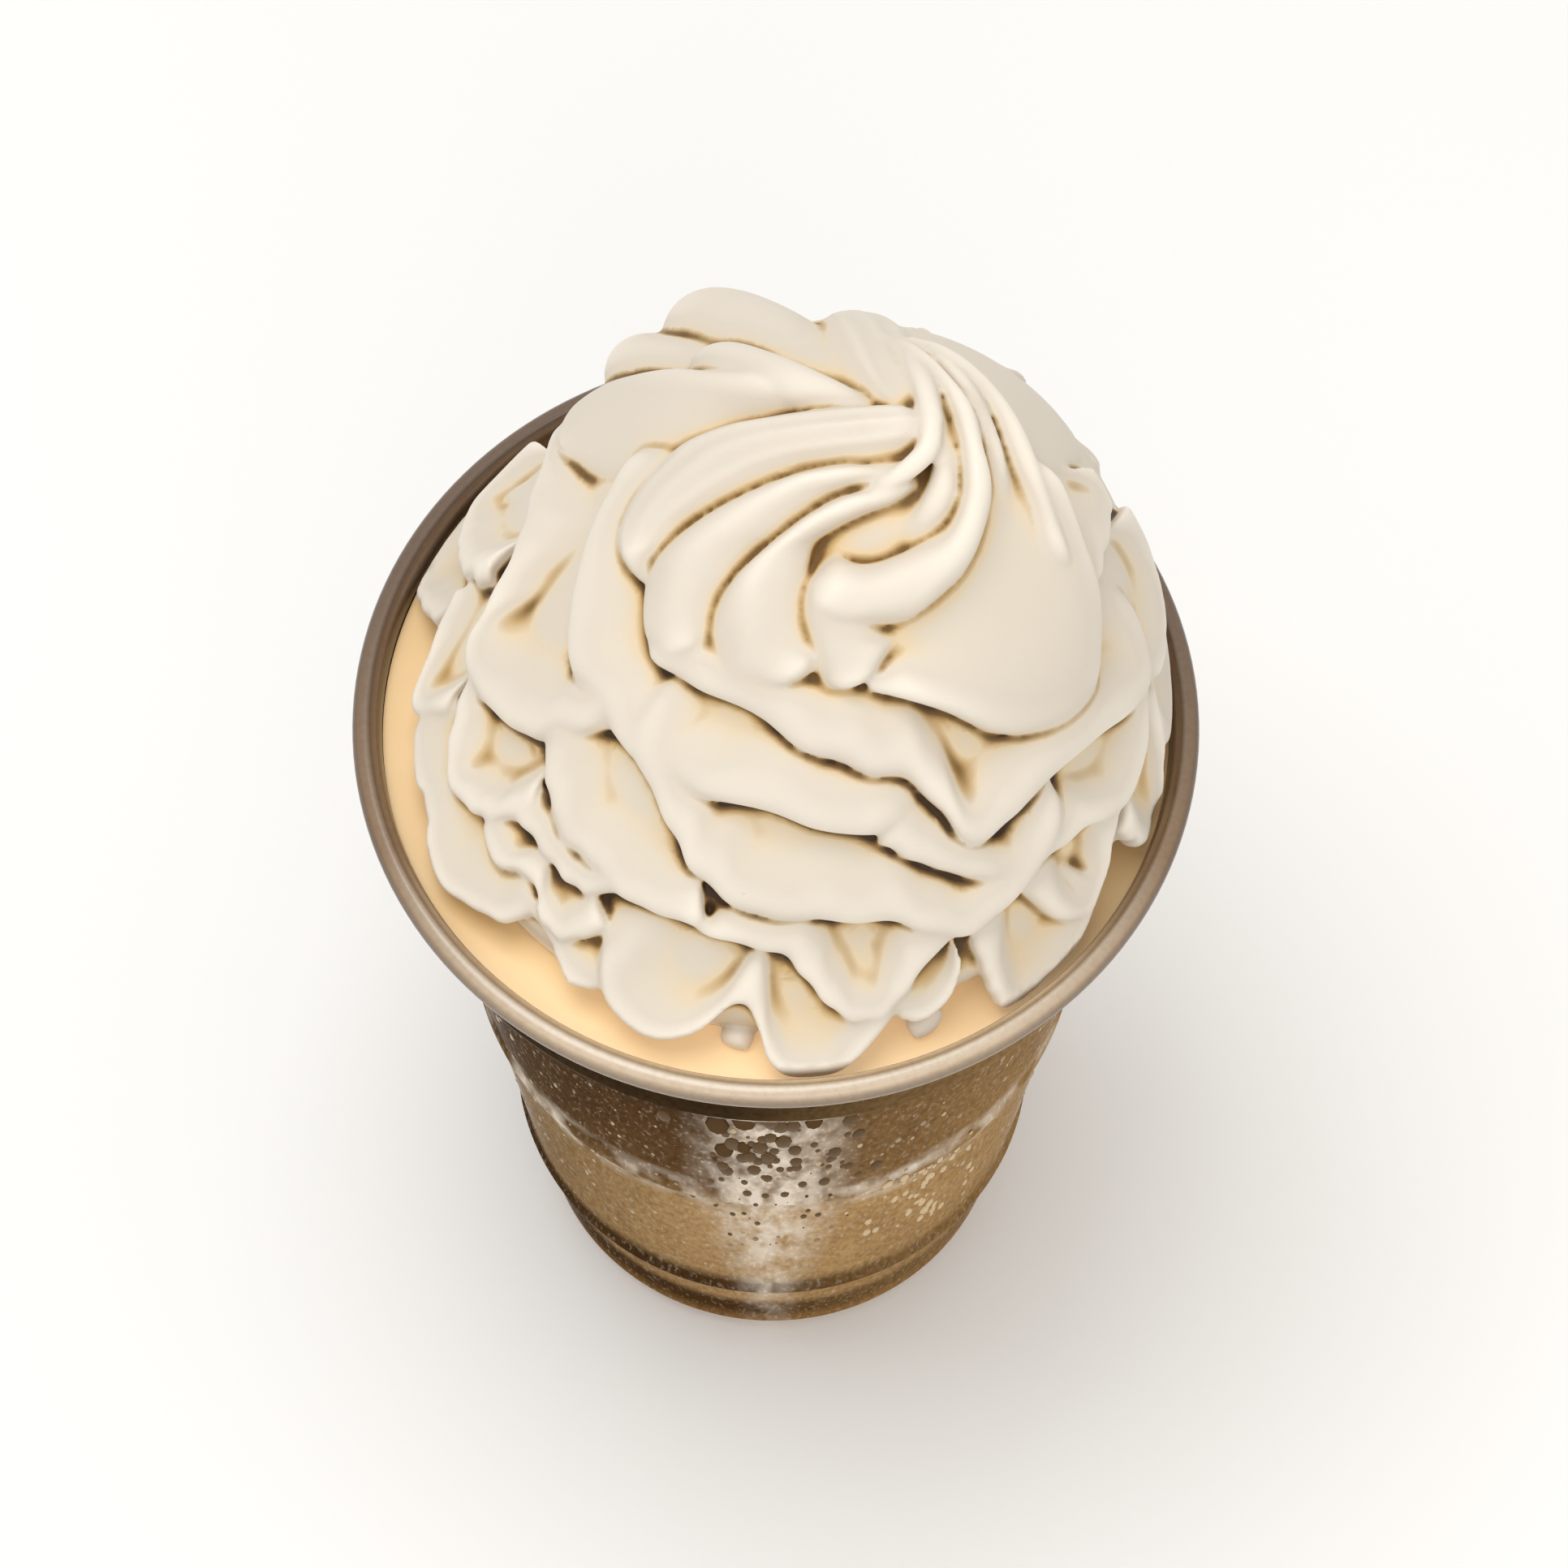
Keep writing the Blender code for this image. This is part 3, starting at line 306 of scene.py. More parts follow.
# Each lobe of the rosette: how far its borders stand off the dome, how far its crest does above
# them, how many stripes the piping left on it, the share of its length over which its tip sinks
# back, how softly it rises from its first border, and the places of its two borders.
LOBES = {
    "lobe_left": (1.4, 2.6, 2, 0.0, 0, (
        (20, 0.01), (119, 0.05), (148, 0.10), (157, 0.16), (161, 0.23), (162, 0.29), (165, 0.35),
        (170, 0.38), (175, 0.41), (181, 0.43), (187, 0.44), (195, 0.43), (201, 0.42)), (
        (340, 0.01), (262, 0.05), (222, 0.09), (205, 0.14), (198, 0.19), (195, 0.24), (194, 0.29),
        (194, 0.33), (196, 0.36), (198, 0.39), (201, 0.41))),
    "lobe_mid": (1.4, 2.8, 1, 0.0, 0, (
        (306, 0.04), (259, 0.06), (224, 0.10), (206, 0.14), (199, 0.19), (196, 0.24), (195, 0.29),
        (195, 0.33), (196, 0.37), (198, 0.40), (202, 0.42), (208, 0.44), (213, 0.45), (219, 0.45),
        (223, 0.43), (226, 0.41)), (
        (294, 0.06), (263, 0.09), (245, 0.11), (225, 0.15), (220, 0.20), (219, 0.24), (217, 0.28),
        (218, 0.32), (220, 0.35), (224, 0.38), (227, 0.40), (226, 0.41))),
    "lobe_front": (1.6, 2.6, 1, 0.0, 0, (
        (290, 0.07), (263, 0.09), (246, 0.12), (227, 0.16), (222, 0.20), (220, 0.24), (219, 0.28),
        (219, 0.32), (221, 0.36), (225, 0.39), (230, 0.41), (235, 0.43), (240, 0.42), (245, 0.41),
        (250, 0.39), (254, 0.37)), (
        (285, 0.09), (260, 0.13), (245, 0.16), (235, 0.20), (232, 0.23), (236, 0.26), (241, 0.29),
        (247, 0.32), (253, 0.34), (256, 0.36))),
    "lobe_tip": (1.4, 2.4, 0, 0.0, 0, (
        (242, 0.24), (241, 0.27), (243, 0.30), (248, 0.33), (253, 0.36), (259, 0.38), (265, 0.38),
        (268, 0.37)), (
        (259, 0.25), (263, 0.28), (268, 0.29), (272, 0.31), (275, 0.32), (273, 0.34),
        (270, 0.37))),
    "curl_outer": (2.0, 2.8, 0, 0.12, 0, (
        (91, 0.29), (76, 0.18), (52, 0.12), (14, 0.11), (343, 0.13), (326, 0.18), (311, 0.22),
        (300, 0.25), (289, 0.27), (279, 0.29), (267, 0.30), (257, 0.31), (247, 0.30), (240, 0.29),
        (235, 0.27), (234, 0.25)), (
        (93, 0.28), (81, 0.17), (61, 0.09), (8, 0.06), (326, 0.09), (309, 0.14), (296, 0.18),
        (280, 0.20), (265, 0.22), (255, 0.23), (247, 0.23), (239, 0.23), (234, 0.24))),
    "curl_inner": (1.6, 2.0, 0, 0.3, 0, (
        (93, 0.32), (83, 0.18), (65, 0.10), (10, 0.05), (326, 0.09), (309, 0.14), (296, 0.17),
        (279, 0.20), (265, 0.21), (256, 0.22)), (
        (95, 0.31), (88, 0.17), (78, 0.09), (47, 0.02), (305, 0.05), (291, 0.10), (279, 0.14),
        (268, 0.17), (261, 0.19), (254, 0.21))),
    "fold_mid": (2.0, 2.2, 0, 0.4, 0, (
        (88, 0.28), (71, 0.19), (47, 0.14), (14, 0.12), (346, 0.15), (330, 0.19), (321, 0.22),
        (317, 0.27)), (
        (86, 0.28), (68, 0.20), (43, 0.16), (12, 0.15), (349, 0.18), (337, 0.23), (329, 0.28),
        (319, 0.29))),
    "fold_right": (2.0, 2.4, 0, 0.25, 0, (
        (86, 0.27), (67, 0.20), (42, 0.17), (13, 0.17), (352, 0.20), (341, 0.25), (333, 0.29),
        (327, 0.33), (324, 0.37), (320, 0.39)), (
        (85, 0.26), (64, 0.22), (41, 0.20), (15, 0.21), (354, 0.25), (343, 0.30), (338, 0.35),
        (334, 0.40), (329, 0.42), (321, 0.41))),
    "lobe_right": (1.4, 2.8, 0, 0.0, 1, (
        (8, 0.19), (355, 0.20), (345, 0.20), (335, 0.21), (325, 0.22), (312, 0.25), (300, 0.28),
        (290, 0.30), (281, 0.32), (274, 0.33), (268, 0.35)), (
        (11, 0.21), (359, 0.26), (351, 0.32), (345, 0.38), (341, 0.45), (335, 0.50), (329, 0.54),
        (320, 0.54), (311, 0.51), (301, 0.47), (290, 0.42), (278, 0.39), (269, 0.38))),
    "lobe_back_left": (0.6, 3.0, 0, 0.0, 0.4, (
        (146, 0.18), (155, 0.23), (158, 0.30), (163, 0.34), (166, 0.37), (167, 0.41), (165, 0.46),
        (161, 0.52), (156, 0.57)), (
        (145, 0.18), (140, 0.26), (138, 0.38), (134, 0.48), (131, 0.60), (129, 0.72), (133, 0.76),
        (144, 0.66), (153, 0.59))),
    "back_sweep": (0.2, 1.8, 2, 0.0, 0, (
        (222, 0.01), (139, 0.07), (129, 0.14), (116, 0.22), (104, 0.36), (97, 0.50),
        (91, 0.58)), (
        (323, 0.02), (42, 0.05), (66, 0.12), (75, 0.22), (79, 0.36), (83, 0.50), (89, 0.58))),
}
# Each strand: the places that it runs through, with a height off the dome and a radius.
STRANDS = {
    "back_fold": ((146, 0.09, 0.4, 1.2), (143, 0.16, 0.3, 2.2), (140, 0.24, 0.1, 3.2),
                  (134, 0.35, -0.2, 3.8), (125, 0.51, -0.8, 3.6)),
    "front_fill": ((247, 0.66, -1.6, 2.0), (252, 0.69, -1.4, 2.4), (257, 0.70, -1.6, 2.0)),
    "crest": ((87, 0.47, -0.4, 1.2), (85, 0.19, 1.0, 1.4), (79, 0.09, 2.0, 1.4),
              (41, 0.01, 2.8, 1.4), (286, 0.05, 3.1, 1.3), (266, 0.08, 2.8, 1.2),
              (249, 0.11, 2.2, 1.0), (236, 0.14, 1.4, 0.8), (228, 0.18, 0.9, 0.6)),
}
# Each knob: its radius, and the points in millimetres that it runs through.
KNOBS = {
    "knob_back_1": (6.4, ((-12.0, 39.6, 137.7), (-6.4, 36.4, 141.6), (-2.1, 31.6, 146.4),
                          (2.2, 25.6, 151.5), (6.3, 19.9, 156.0), (9.8, 14.0, 159.0))),
    "knob_back_2": (5.0, ((-18.2, 35.8, 135.4), (-14.4, 33.2, 139.4), (-9.0, 29.0, 144.8),
                          (-3.8, 23.9, 150.0), (2.0, 19.7, 154.0), (5.5, 14.5, 157.0))),
    "knob_left": (4.0, ((-22.0, 24.5, 136.5), (-18.2, 24.6, 140.5), (-13.1, 22.7, 145.0),
                        (-7.1, 20.3, 149.5), (-1.3, 17.5, 153.5))),
    "drop_front": (1.9, ((-4.3, -36.3, 118.4), (-3.7, -38.9, 117.6), (-4.6, -41.2, 117.0))),
    "drop_right": (1.6, ((18.1, -36.1, 118.4), (17.2, -37.9, 117.8), (15.2, -38.9, 117.4))),
}
# The guessed back: the azimuths that it spans, the level and count of each tier's petals, and
# how far each petal may differ.
BACK_SEED = 7
BACK_AZIMUTHS = (22, 140)
BACK_TIERS = ((0.66, 5), (0.82, 6), (0.97, 7))
BACK_STAGGER = 0.25
BACK_AZIMUTH_PLAY = 3
BACK_LEVEL_PLAY = 0.04
BACK_HALF_WIDTHS = (0.55, 0.75)
BACK_LIFTS = (0.6, 1.4)
BACK_HEART_ABOVE = 0.3
# A back petal's lip, as shares of its half width and how far each place lies above its lowest.
BACK_LIP = ((-1, 0.14), (-0.6, 0.03), (0, 0), (0.6, 0.03), (1, 0.14))
# How far its inside stands off the dome, its lip's half thickness and its fall, as for a petal.
BACK_SHAPE = (-1.0, 1.3, 12)

# ---------------------------------------------------------------- sizes of the camera
PHOTO_SIDE = 1932
SENSOR = 36.0
FOCAL_PIXELS = 6848.0
CAMERA_DISTANCE = 641.8
CAMERA_ELEVATION = 62.65
CAMERA_PITCH = -0.75
CAMERA_YAW = -0.09
CAMERA_ROLL = -0.63

# ---------------------------------------------------------------- floor and light
FLOOR_HALF = 3000.0
SURROUND_COLOUR, SURROUND_STRENGTH = "#FFFDF8", 0.70
# Each lamp: its place, what it lights and its side, all in metres, and its power in watts.
LIGHT_AIM = (0, 0, 0.10)
SOFTBOX = ((-0.12, 0.04, 0.80), LIGHT_AIM, 0.40, 2.15)
FILL = ((0.08, -0.60, 0.44), LIGHT_AIM, 0.50, 0.8)


# ================================================================ meshes
def solid(name, points, faces):
    """A smoothly shaded mesh object from points in millimetres."""
    mesh = bpy.data.meshes.new(name)
    mesh.from_pydata((np.asarray(points) * MM).tolist(), [], faces)
    mesh.validate()
    mesh.shade_smooth()
    obj = bpy.data.objects.new(name, mesh)
    bpy.context.scene.collection.objects.link(obj)
    return obj


def quads(rows, columns, offset=0):
    """The quads of a grid of points whose rows are closed loops, as an array of point numbers."""
    i, j = np.meshgrid(np.arange(rows - 1), np.arange(columns), indexing="ij")
    k, m = i + 1, (j + 1) % columns
    faces = np.stack([i * columns + j, i * columns + m, k * columns + m, k * columns + j], -1)
    return faces.reshape(-1, 4) + offset


def rounded(profile, passes=2):
    """A profile with its corners cut: each pass puts points at a quarter and three quarters of
    every side, and both ends stay."""
    points = np.asarray(profile, float)
    for _ in range(passes):
        a, b = points[:-1], points[1:]
        cut = np.stack([0.75 * a + 0.25 * b, 0.25 * a + 0.75 * b], 1).reshape(-1, 2)
        points = np.vstack([points[:1], cut[1:-1], points[-1:]])
    return points


def turned(name, profile, steps=TURN_STEPS):
    """A turned solid: the profile's radius times the cosine and sine of the turn. It starts and
    ends on the axis, where one point closes it."""
    profile = np.asarray(profile, float)
    turn = np.linspace(0, 2 * math.pi, steps, endpoint=False)
    r, z = profile[1:-1, 0, None], profile[1:-1, 1, None]
    rings = np.stack([r * np.cos(turn), r * np.sin(turn), z + 0 * turn], -1)
    points = np.vstack([rings.reshape(-1, 3), (0, 0, profile[0, 1]), (0, 0, profile[-1, 1])])
    faces = quads(len(rings), steps)[:, ::-1].tolist()
    j = np.arange(steps)
    first, last = len(points) - 2, len(points) - 1
    base = (len(rings) - 1) * steps
    faces += np.stack([0 * j + first, j, (j + 1) % steps], -1).tolist()
    faces += np.stack([0 * j + last, base + (j + 1) % steps, base + j], -1).tolist()
    return solid(name, points, faces)


def arc(middle, radius, start, end, count):
    """Points of an arc in the profile plane, by angles in degrees from the outward direction."""
    turn = np.radians(np.linspace(start, end, count))
    return np.stack([middle[0] + radius * np.cos(turn), middle[1] + radius * np.sin(turn)], -1)


# ================================================================ cup and drink
def wall_radius(z):
    """The outer radius of the plain tapered wall at a height."""
    return LEDGE_RADIUS + WALL_SLOPE * (z - LEDGE_Z)


def cup_outside():
    """The outline down the outside, from the inner edge of the rim's top to the push-up."""
    bead = (RIM_RADIUS - BEAD_RADIUS, CUP_HEIGHT - BEAD_RADIUS)
    rib_z = np.linspace(RIB_Z + RIB_HALF_HEIGHT, RIB_Z - RIB_HALF_HEIGHT, 9)
    swell = RIB_OUT * np.cos((rib_z - RIB_Z) / RIB_HALF_HEIGHT * math.pi / 2)
    ledge = LEDGE_RADIUS + LEDGE_OUT
    return np.vstack([
        arc(bead, BEAD_RADIUS, 150, -60, 15),
        [BAND_TOP, BAND_FOOT, (BAND_FOOT[0] - 0.6, BAND_FOOT[1] - 1.0)],
        [(wall_radius(SHOULDER_FOOT_Z) + 0.3, SHOULDER_FOOT_Z + 0.6)],
        [(wall_radius(SHOULDER_FOOT_Z - 1), SHOULDER_FOOT_Z - 1)],
        np.stack([wall_radius(rib_z) + swell, rib_z], -1),
        [(wall_radius(LEDGE_Z + 2), LEDGE_Z + 2), (ledge, LEDGE_Z + 0.8), (ledge, LEDGE_Z - 0.6)],
        [(LEDGE_RADIUS - 0.5, LEDGE_Z - 1.6), (HEEL[0] + 0.5, HEEL[1] + 5)],
        arc((HEEL[0] - HEEL_FILLET, HEEL[1]), HEEL_FILLET, 0, -60, 6),
        [(FOOT_OUTER, 0), (FOOT_INNER, 0), (FOOT_INNER - 1.2, 0.9), (PUSH_UP_RADIUS, 2.4)],
        [(PUSH_UP_RADIUS - 2, PUSH_UP_Z)],
    ])


def cup_inside(inset):
    """The outline of the cavity from its middle up, set in from the outside."""
    floor_z = PUSH_UP_Z + inset
    return np.array([
        (PUSH_UP_RADIUS - 1.8, floor_z),
        (HEEL[0] - HEEL_FILLET - inset, floor_z + 0.6),
        (HEEL[0] - inset - 0.1, HEEL[1] + 2.6 + inset - WALL),
        (LEDGE_RADIUS - 0.6 - inset, LEDGE_Z - 1.6),
        (LEDGE_RADIUS + 0.2 - inset, LEDGE_Z + 0.5),
        (wall_radius(LEDGE_Z + 4) - inset, LEDGE_Z + 4),
        (wall_radius(RIB_Z) - inset, RIB_Z),
        (wall_radius(SHOULDER_FOOT_Z - 1) - inset, SHOULDER_FOOT_Z - 1),
        (wall_radius(SHOULDER_FOOT_Z) + 0.3 - inset, SHOULDER_FOOT_Z + 0.8),
        (BAND_FOOT[0] - 0.6 - inset, BAND_FOOT[1]),
        (BAND_FOOT[0] + 0.1 - inset, BAND_FOOT[1] + 1.5),
    ])


def cup():
    """The cup's wall as one turned profile: from the middle of its floor up the inside, over the
    rim, and down the outside to the middle of the push-up."""
    top = (BAND_TOP[0] - WALL, BAND_TOP[1] + 1.6)
    inside = rounded(np.vstack([cup_inside(WALL), [top]]))
    outside = rounded(cup_outside())
    floor_middle, push_up_middle = (0, inside[0, 1]), (0, PUSH_UP_Z)
    return turned("fine_cup", np.vstack([[floor_middle], inside, outside, [push_up_middle]]))


def drink():
    """The drink up to its level, reaching into the wall so that no air shows between them."""
    inset = WALL - INTO_WALL
    share = (DRINK_LEVEL - BAND_FOOT[1]) / (BAND_TOP[1] - BAND_FOOT[1])
    edge = BAND_FOOT[0] + share * (BAND_TOP[0] - BAND_FOOT[0]) - inset
    side = rounded(np.vstack([cup_inside(inset), [(edge, DRINK_LEVEL)]]))
    top = [(edge - 0.2, DRINK_LEVEL), (edge - 3, DRINK_LEVEL), (0.5 * edge, DRINK_LEVEL)]
    profile = np.vstack([[(0, DRINK_LEVEL)], top[::-1], side[::-1], [(0, PUSH_UP_Z + inset)]])
    return turned("fine_drink", profile)


def dew():
    """Condensed drops on the outside of the wall, one mesh. Each is a low dome of a few rings and
    a tip: a circle times a quarter arch, standing along the wall's normal, its foot just inside
    the wall. Most are tiny, as their radius goes by a power of an even draw."""
    draw = np.random.default_rng(DEW_SEED)
    turn = draw.uniform(0, 2 * math.pi, DEW_COUNT)
    z = draw.uniform(*DEW_SPAN, DEW_COUNT)
    grown = draw.uniform(0, 1, DEW_COUNT) ** DEW_SMALLNESS
    size = DEW_RADII[0] + (DEW_RADII[1] - DEW_RADII[0]) * grown
    tint = draw.uniform(*DEW_TINTS, DEW_COUNT)
    front = 1.5 * math.pi
    fog_turn = front + draw.normal(0, FOG_DROPS_TURN, FOG_DROPS)
    fog_z = FOG_DROPS_Z + draw.normal(0, 1, FOG_DROPS) * FOG_DROPS_SPREAD
    fog_z = np.clip(fog_z, FOG_DROPS_LOWEST, DEW_SPAN[1])
    foot_z, rise, least = FOG_DROPS_SHRINK
    shrink = np.clip((fog_z - foot_z) / rise, least, 1)
    fog_size = draw.uniform(*FOG_DROPS_RADII, FOG_DROPS) * shrink
    glint_turn = front + draw.normal(*GLINT_TURN, GLINTS)
    glint_z = draw.uniform(*GLINT_SPAN, GLINTS)
    glint_size = draw.uniform(*GLINT_RADII, GLINTS)
    big = np.array(BIG_DROPS)
    turn = np.concatenate([turn, fog_turn, glint_turn, np.radians(big[:, 0])])
    z = np.concatenate([z, fog_z, glint_z, big[:, 1]])
    size = np.concatenate([size, fog_size, glint_size, big[:, 2]])
    # Each drop's painted tint: dark in the fog, golden for the painted glints, and in between
    # elsewhere.
    tint = np.concatenate([tint, 0 * fog_z + FOG_DROPS_TINT, 0 * glint_z + 1, 0 * big[:, 0]])
    off_rib = np.abs(z - RIB_Z) / RIB_HALF_HEIGHT
    swell = np.where(off_rib < 1, RIB_OUT * np.cos(np.minimum(off_rib, 1) * math.pi / 2), 0)
    radius = wall_radius(z) + swell
    outward = unit(np.stack([np.cos(turn), np.sin(turn), -WALL_SLOPE + 0 * turn], -1))
    along = np.stack([-np.sin(turn), np.cos(turn), 0 * turn], -1)
    up = np.cross(outward, along)
    foot = np.stack([radius * np.cos(turn), radius * np.sin(turn), z], -1) - DEW_SINK * outward
    rings = []
    for ring in DEW_RINGS:
        wide, high = math.cos(ring * math.pi / 2), math.sin(ring * math.pi / 2)
        for step in range(DEW_SIDES):
            angle = step * 2 * math.pi / DEW_SIDES
            rings.append(foot + size[:, None] * (
                wide * (math.cos(angle) * along + RUN_DOWN * math.sin(angle) * up)
                + DEW_HEIGHT * high * outward))
    rings.append(foot + (size * DEW_HEIGHT)[:, None] * outward)
    points = np.stack(rings, 1)
    tip = len(DEW_RINGS) * DEW_SIDES
    last = tip - DEW_SIDES
    one = quads(len(DEW_RINGS), DEW_SIDES).tolist()
    one += [[last + k, last + (k + 1) % DEW_SIDES, tip] for k in range(DEW_SIDES)]
    one.append(list(range(DEW_SIDES))[::-1])
    start = (tip + 1) * np.arange(len(z))
    faces = [face for corner in one for face in (start[:, None] + np.array(corner)).tolist()]
    drops = solid("condensed_drops", points.reshape(-1, 3), faces)
    layer = drops.data.attributes.new("tint", "FLOAT", "POINT")
    layer.data.foreach_set("value", np.repeat(tint, tip + 1).astype(np.float32))
    return drops


# ================================================================ cream
def spread(points, count):
    """Places evenly spaced in parameter along the smooth curve through the given points: a cubic
    between each two, which leaves a point in the direction from its last neighbour to its next."""
    points = np.asarray(points, float)
    ends = (2 * points[0] - points[1], 2 * points[-1] - points[-2])
    padded = np.vstack([ends[0], points, ends[1]])
    t = np.linspace(0, len(points) - 1, count)
    i = np.minimum(t.astype(int), len(points) - 2)
    f = (t - i)[:, None]
    a, b, c, d = (padded[i + k] for k in range(4))
    return 0.5 * (2 * b + (c - a) * f + (2 * a - 5 * b + 4 * c - d) * f**2
                  + (3 * b - a - 3 * c + d) * f**3)


def on_map(place):
    """An azimuth and a level as a point of the flat map, whose middle is the tip."""
    azimuth, level = place[:2]
    return (level * math.cos(math.radians(azimuth)), level * math.sin(math.radians(azimuth)))


def dome(flat):
    """Points of the dome: each level is a circle, wide as the sine of the level's angle and
    flaring at the foot, high as a blend of its cosine and the square of that, levelling out on
    the drink; its middle moves from the lean to the axis."""
    level = np.clip(np.hypot(flat[..., 0], flat[..., 1]), 1e-6, LEVEL_MOST)
    outward = flat / np.maximum(np.hypot(flat[..., 0], flat[..., 1]), 1e-6)[..., None]
    angle = level * math.pi / 2
    radius = DOME_RADIUS * np.sin(np.minimum(angle, math.pi / 2)) ** DOME_FULLNESS
    radius = radius + FLARE * np.maximum(level - FLARE_LEVEL, 0) ** FLARE_CURVE
    cosine = np.cos(angle)
    height = DOME_ROUNDNESS * cosine * np.abs(cosine) + (1 - DOME_ROUNDNESS) * cosine
    over = DOME_FOOT_Z + (DOME_TIP_Z - DOME_FOOT_Z) * height - FOOT_REST_Z
    z = FOOT_REST_Z + 0.5 * (over + np.sqrt(over**2 + FOOT_BEND**2))
    x = LEAN[0] * (1 - level) + radius * outward[..., 0]
    y = LEAN[1] * (1 - level**2) + radius * outward[..., 1]
    return np.stack([x, y, z], -1)


def unit(vectors):
    """Each vector divided by its length."""
    return vectors / np.maximum(np.linalg.norm(vectors, axis=-1, keepdims=True), 1e-9)


def dome_normal(flat):
    """The dome's outward direction: the cross product of two small steps along it."""
    step = 1e-3
    along_x = dome(flat + (step, 0)) - dome(flat - (step, 0))
    along_y = dome(flat + (0, step)) - dome(flat - (0, step))
    return unit(np.cross(along_x, along_y))


def petal_grid(heart, lift, inner, plump, width, lip):
    """A petal as rows of points, one for each step along its lip. A row is a closed loop: from
    inside it rises to the lip as half a cosine wave, rounds the lip as half an ellipse, tucks in
    under it and returns below the dome."""
    middle = np.array(on_map(heart))
    lip = np.array([on_map(place) for place in lip])
    lip = np.vstack([lip[0] + END_REACH * (middle - lip[0]), lip,
                     lip[-1] + END_REACH * (middle - lip[-1])])
    edge = spread(lip, LIP_STEPS)
    share = np.linspace(0, 1, LIP_STEPS)
    draw = np.random.default_rng(len(lip) + int(heart[0]))
    across = unit(np.gradient(edge, axis=0))[:, ::-1] * (1, -1)
    waves = sum(np.sin(share * draw.uniform(*WOBBLE_LENGTHS) + draw.uniform(*WOBBLE_STARTS))
                for _ in range(WOBBLE_WAVES))
    ragged = across * (waves * LIP_WOBBLE / ARC)[:, None]
    end = np.clip(np.minimum(share, 1 - share) / END_SHARE, 0, 1)
    sink = ((lift + END_SINK) * (1 - end * end * (3 - 2 * end)))[:, None]
    tangent = unit(np.gradient(dome(edge), axis=0))
    normal = dome_normal(edge)
    outward = np.cross(tangent, normal)
    outward *= np.sign(((dome(edge) - dome(middle[None, :])) * outward).sum(-1, keepdims=True))
    length = np.linalg.norm(dome(edge) - dome(middle[None, :]), axis=-1)[:, None]
    wide = np.minimum(LIP_REACH * plump, LIP_MOST * length)
    full = HEART_REACH * length
    top = lift - sink
    rows = []
    for u in np.linspace(1, 0, RISE_STEPS) ** RISE_CROWDING:
        away = wide + (full - wide) * u
        flat = edge + (middle - edge) * (away / length) + ragged * (1 - u) ** WOBBLE_FADE
        fall = np.clip((away - wide) / np.maximum(width - wide, 1), 0, 1)
        height = top + (inner - top) * (1 - np.cos(math.pi * fall)) / 2
        rows.append(dome(flat) + dome_normal(flat) * height)
    start = rows[-1]
    foot = dome(edge + ragged) - outward * wide + normal * top
    for turn in np.radians(np.linspace(*NOSE_ARC, NOSE_STEPS)):
        along = math.sin(turn) if turn < math.pi / 2 else 1 - TUCK * (1 - math.sin(turn))
        point = outward * (wide * along) - normal * (plump * (1 - math.cos(turn)))
        join = 1 - min(1.0, turn / NOSE_JOIN)
        rows.append((foot + point) + (start - foot) * join)
    for share in UNDER_SHARES:
        flat = edge + (middle - edge) * ((wide + (full - wide) * share) / length)
        rows.append(dome(flat) - dome_normal(flat) * PETAL_UNDERSIDE)
    return np.stack(rows, 1)


def evenly(points, count):
    """Places evenly spaced along the curve through the given points."""
    fine = spread(points, CURVE_STEPS)
    way = np.concatenate([[0], np.cumsum(np.linalg.norm(np.diff(fine, axis=0), axis=-1))])
    wanted = np.linspace(0, way[-1], count)
    return np.stack([np.interp(wanted, way, fine[:, k]) for k in range(2)], -1)


def lobe_grid(lift, crest, stripes, tail, soft, one, other):
    """A lobe between two borders: across it stands a blunt arch, no higher than the lobe is
    wide, on which shallow cosine stripes run along it and fade out to its tip. A soft lobe rises
    from its first border as half a cosine wave, to a crest nearer to its second. A row is a
    closed loop that returns below the dome."""
    one = evenly([on_map(place) for place in one], LOBE_STEPS)[:, None]
    other = evenly([on_map(place) for place in other], LOBE_STEPS)[:, None]
    half = np.maximum(np.linalg.norm(dome(other) - dome(one), axis=-1) / 2, LOBE_LEAST_HALF)
    along = np.linspace(0, 1, LOBE_STEPS)[:, None]
    across = -np.cos(np.linspace(0, math.pi, LOBE_ACROSS))
    flat = one + (other - one) * ((1 + across * (1 + LOBE_OVERLAP / half)) / 2)[..., None]
    share = (1 + across) / 2
    peak = 0.5 + LOBE_SOFT_PEAK * soft
    reach = np.where(share < peak, (peak - share) / peak, (share - peak) / (1 - peak))
    arch = np.maximum(1 - reach ** LOBE_ARCH[0], 0) ** LOBE_ARCH[1]
    wave = (1 + np.cos(math.pi * reach)) / 2
    arch = np.where(share < peak, arch + soft * (wave - arch), arch)
    deep = np.minimum(STRIPE_DEPTH, STRIPE_RISE * half**2) * (1 - along)
    striped = deep * (np.cos(2 * math.pi * stripes * across) - 1) / 2
    start = np.minimum(along / LOBE_START, (1 - along + 1e-9) / max(tail, 1e-6))
    start = np.clip(start, 0, 1)
    start = start * start * (3 - 2 * start)
    height = lift + np.minimum(crest, LOBE_SLOPE * half) * arch + striped * arch
    height = height * start - LOBE_START_SINK * (1 - start)
    over = dome(flat) + dome_normal(flat) * height[..., None]
    under = dome(flat) - dome_normal(flat) * PETAL_UNDERSIDE
    return np.concatenate([over, under[:, ::-1]], 1)


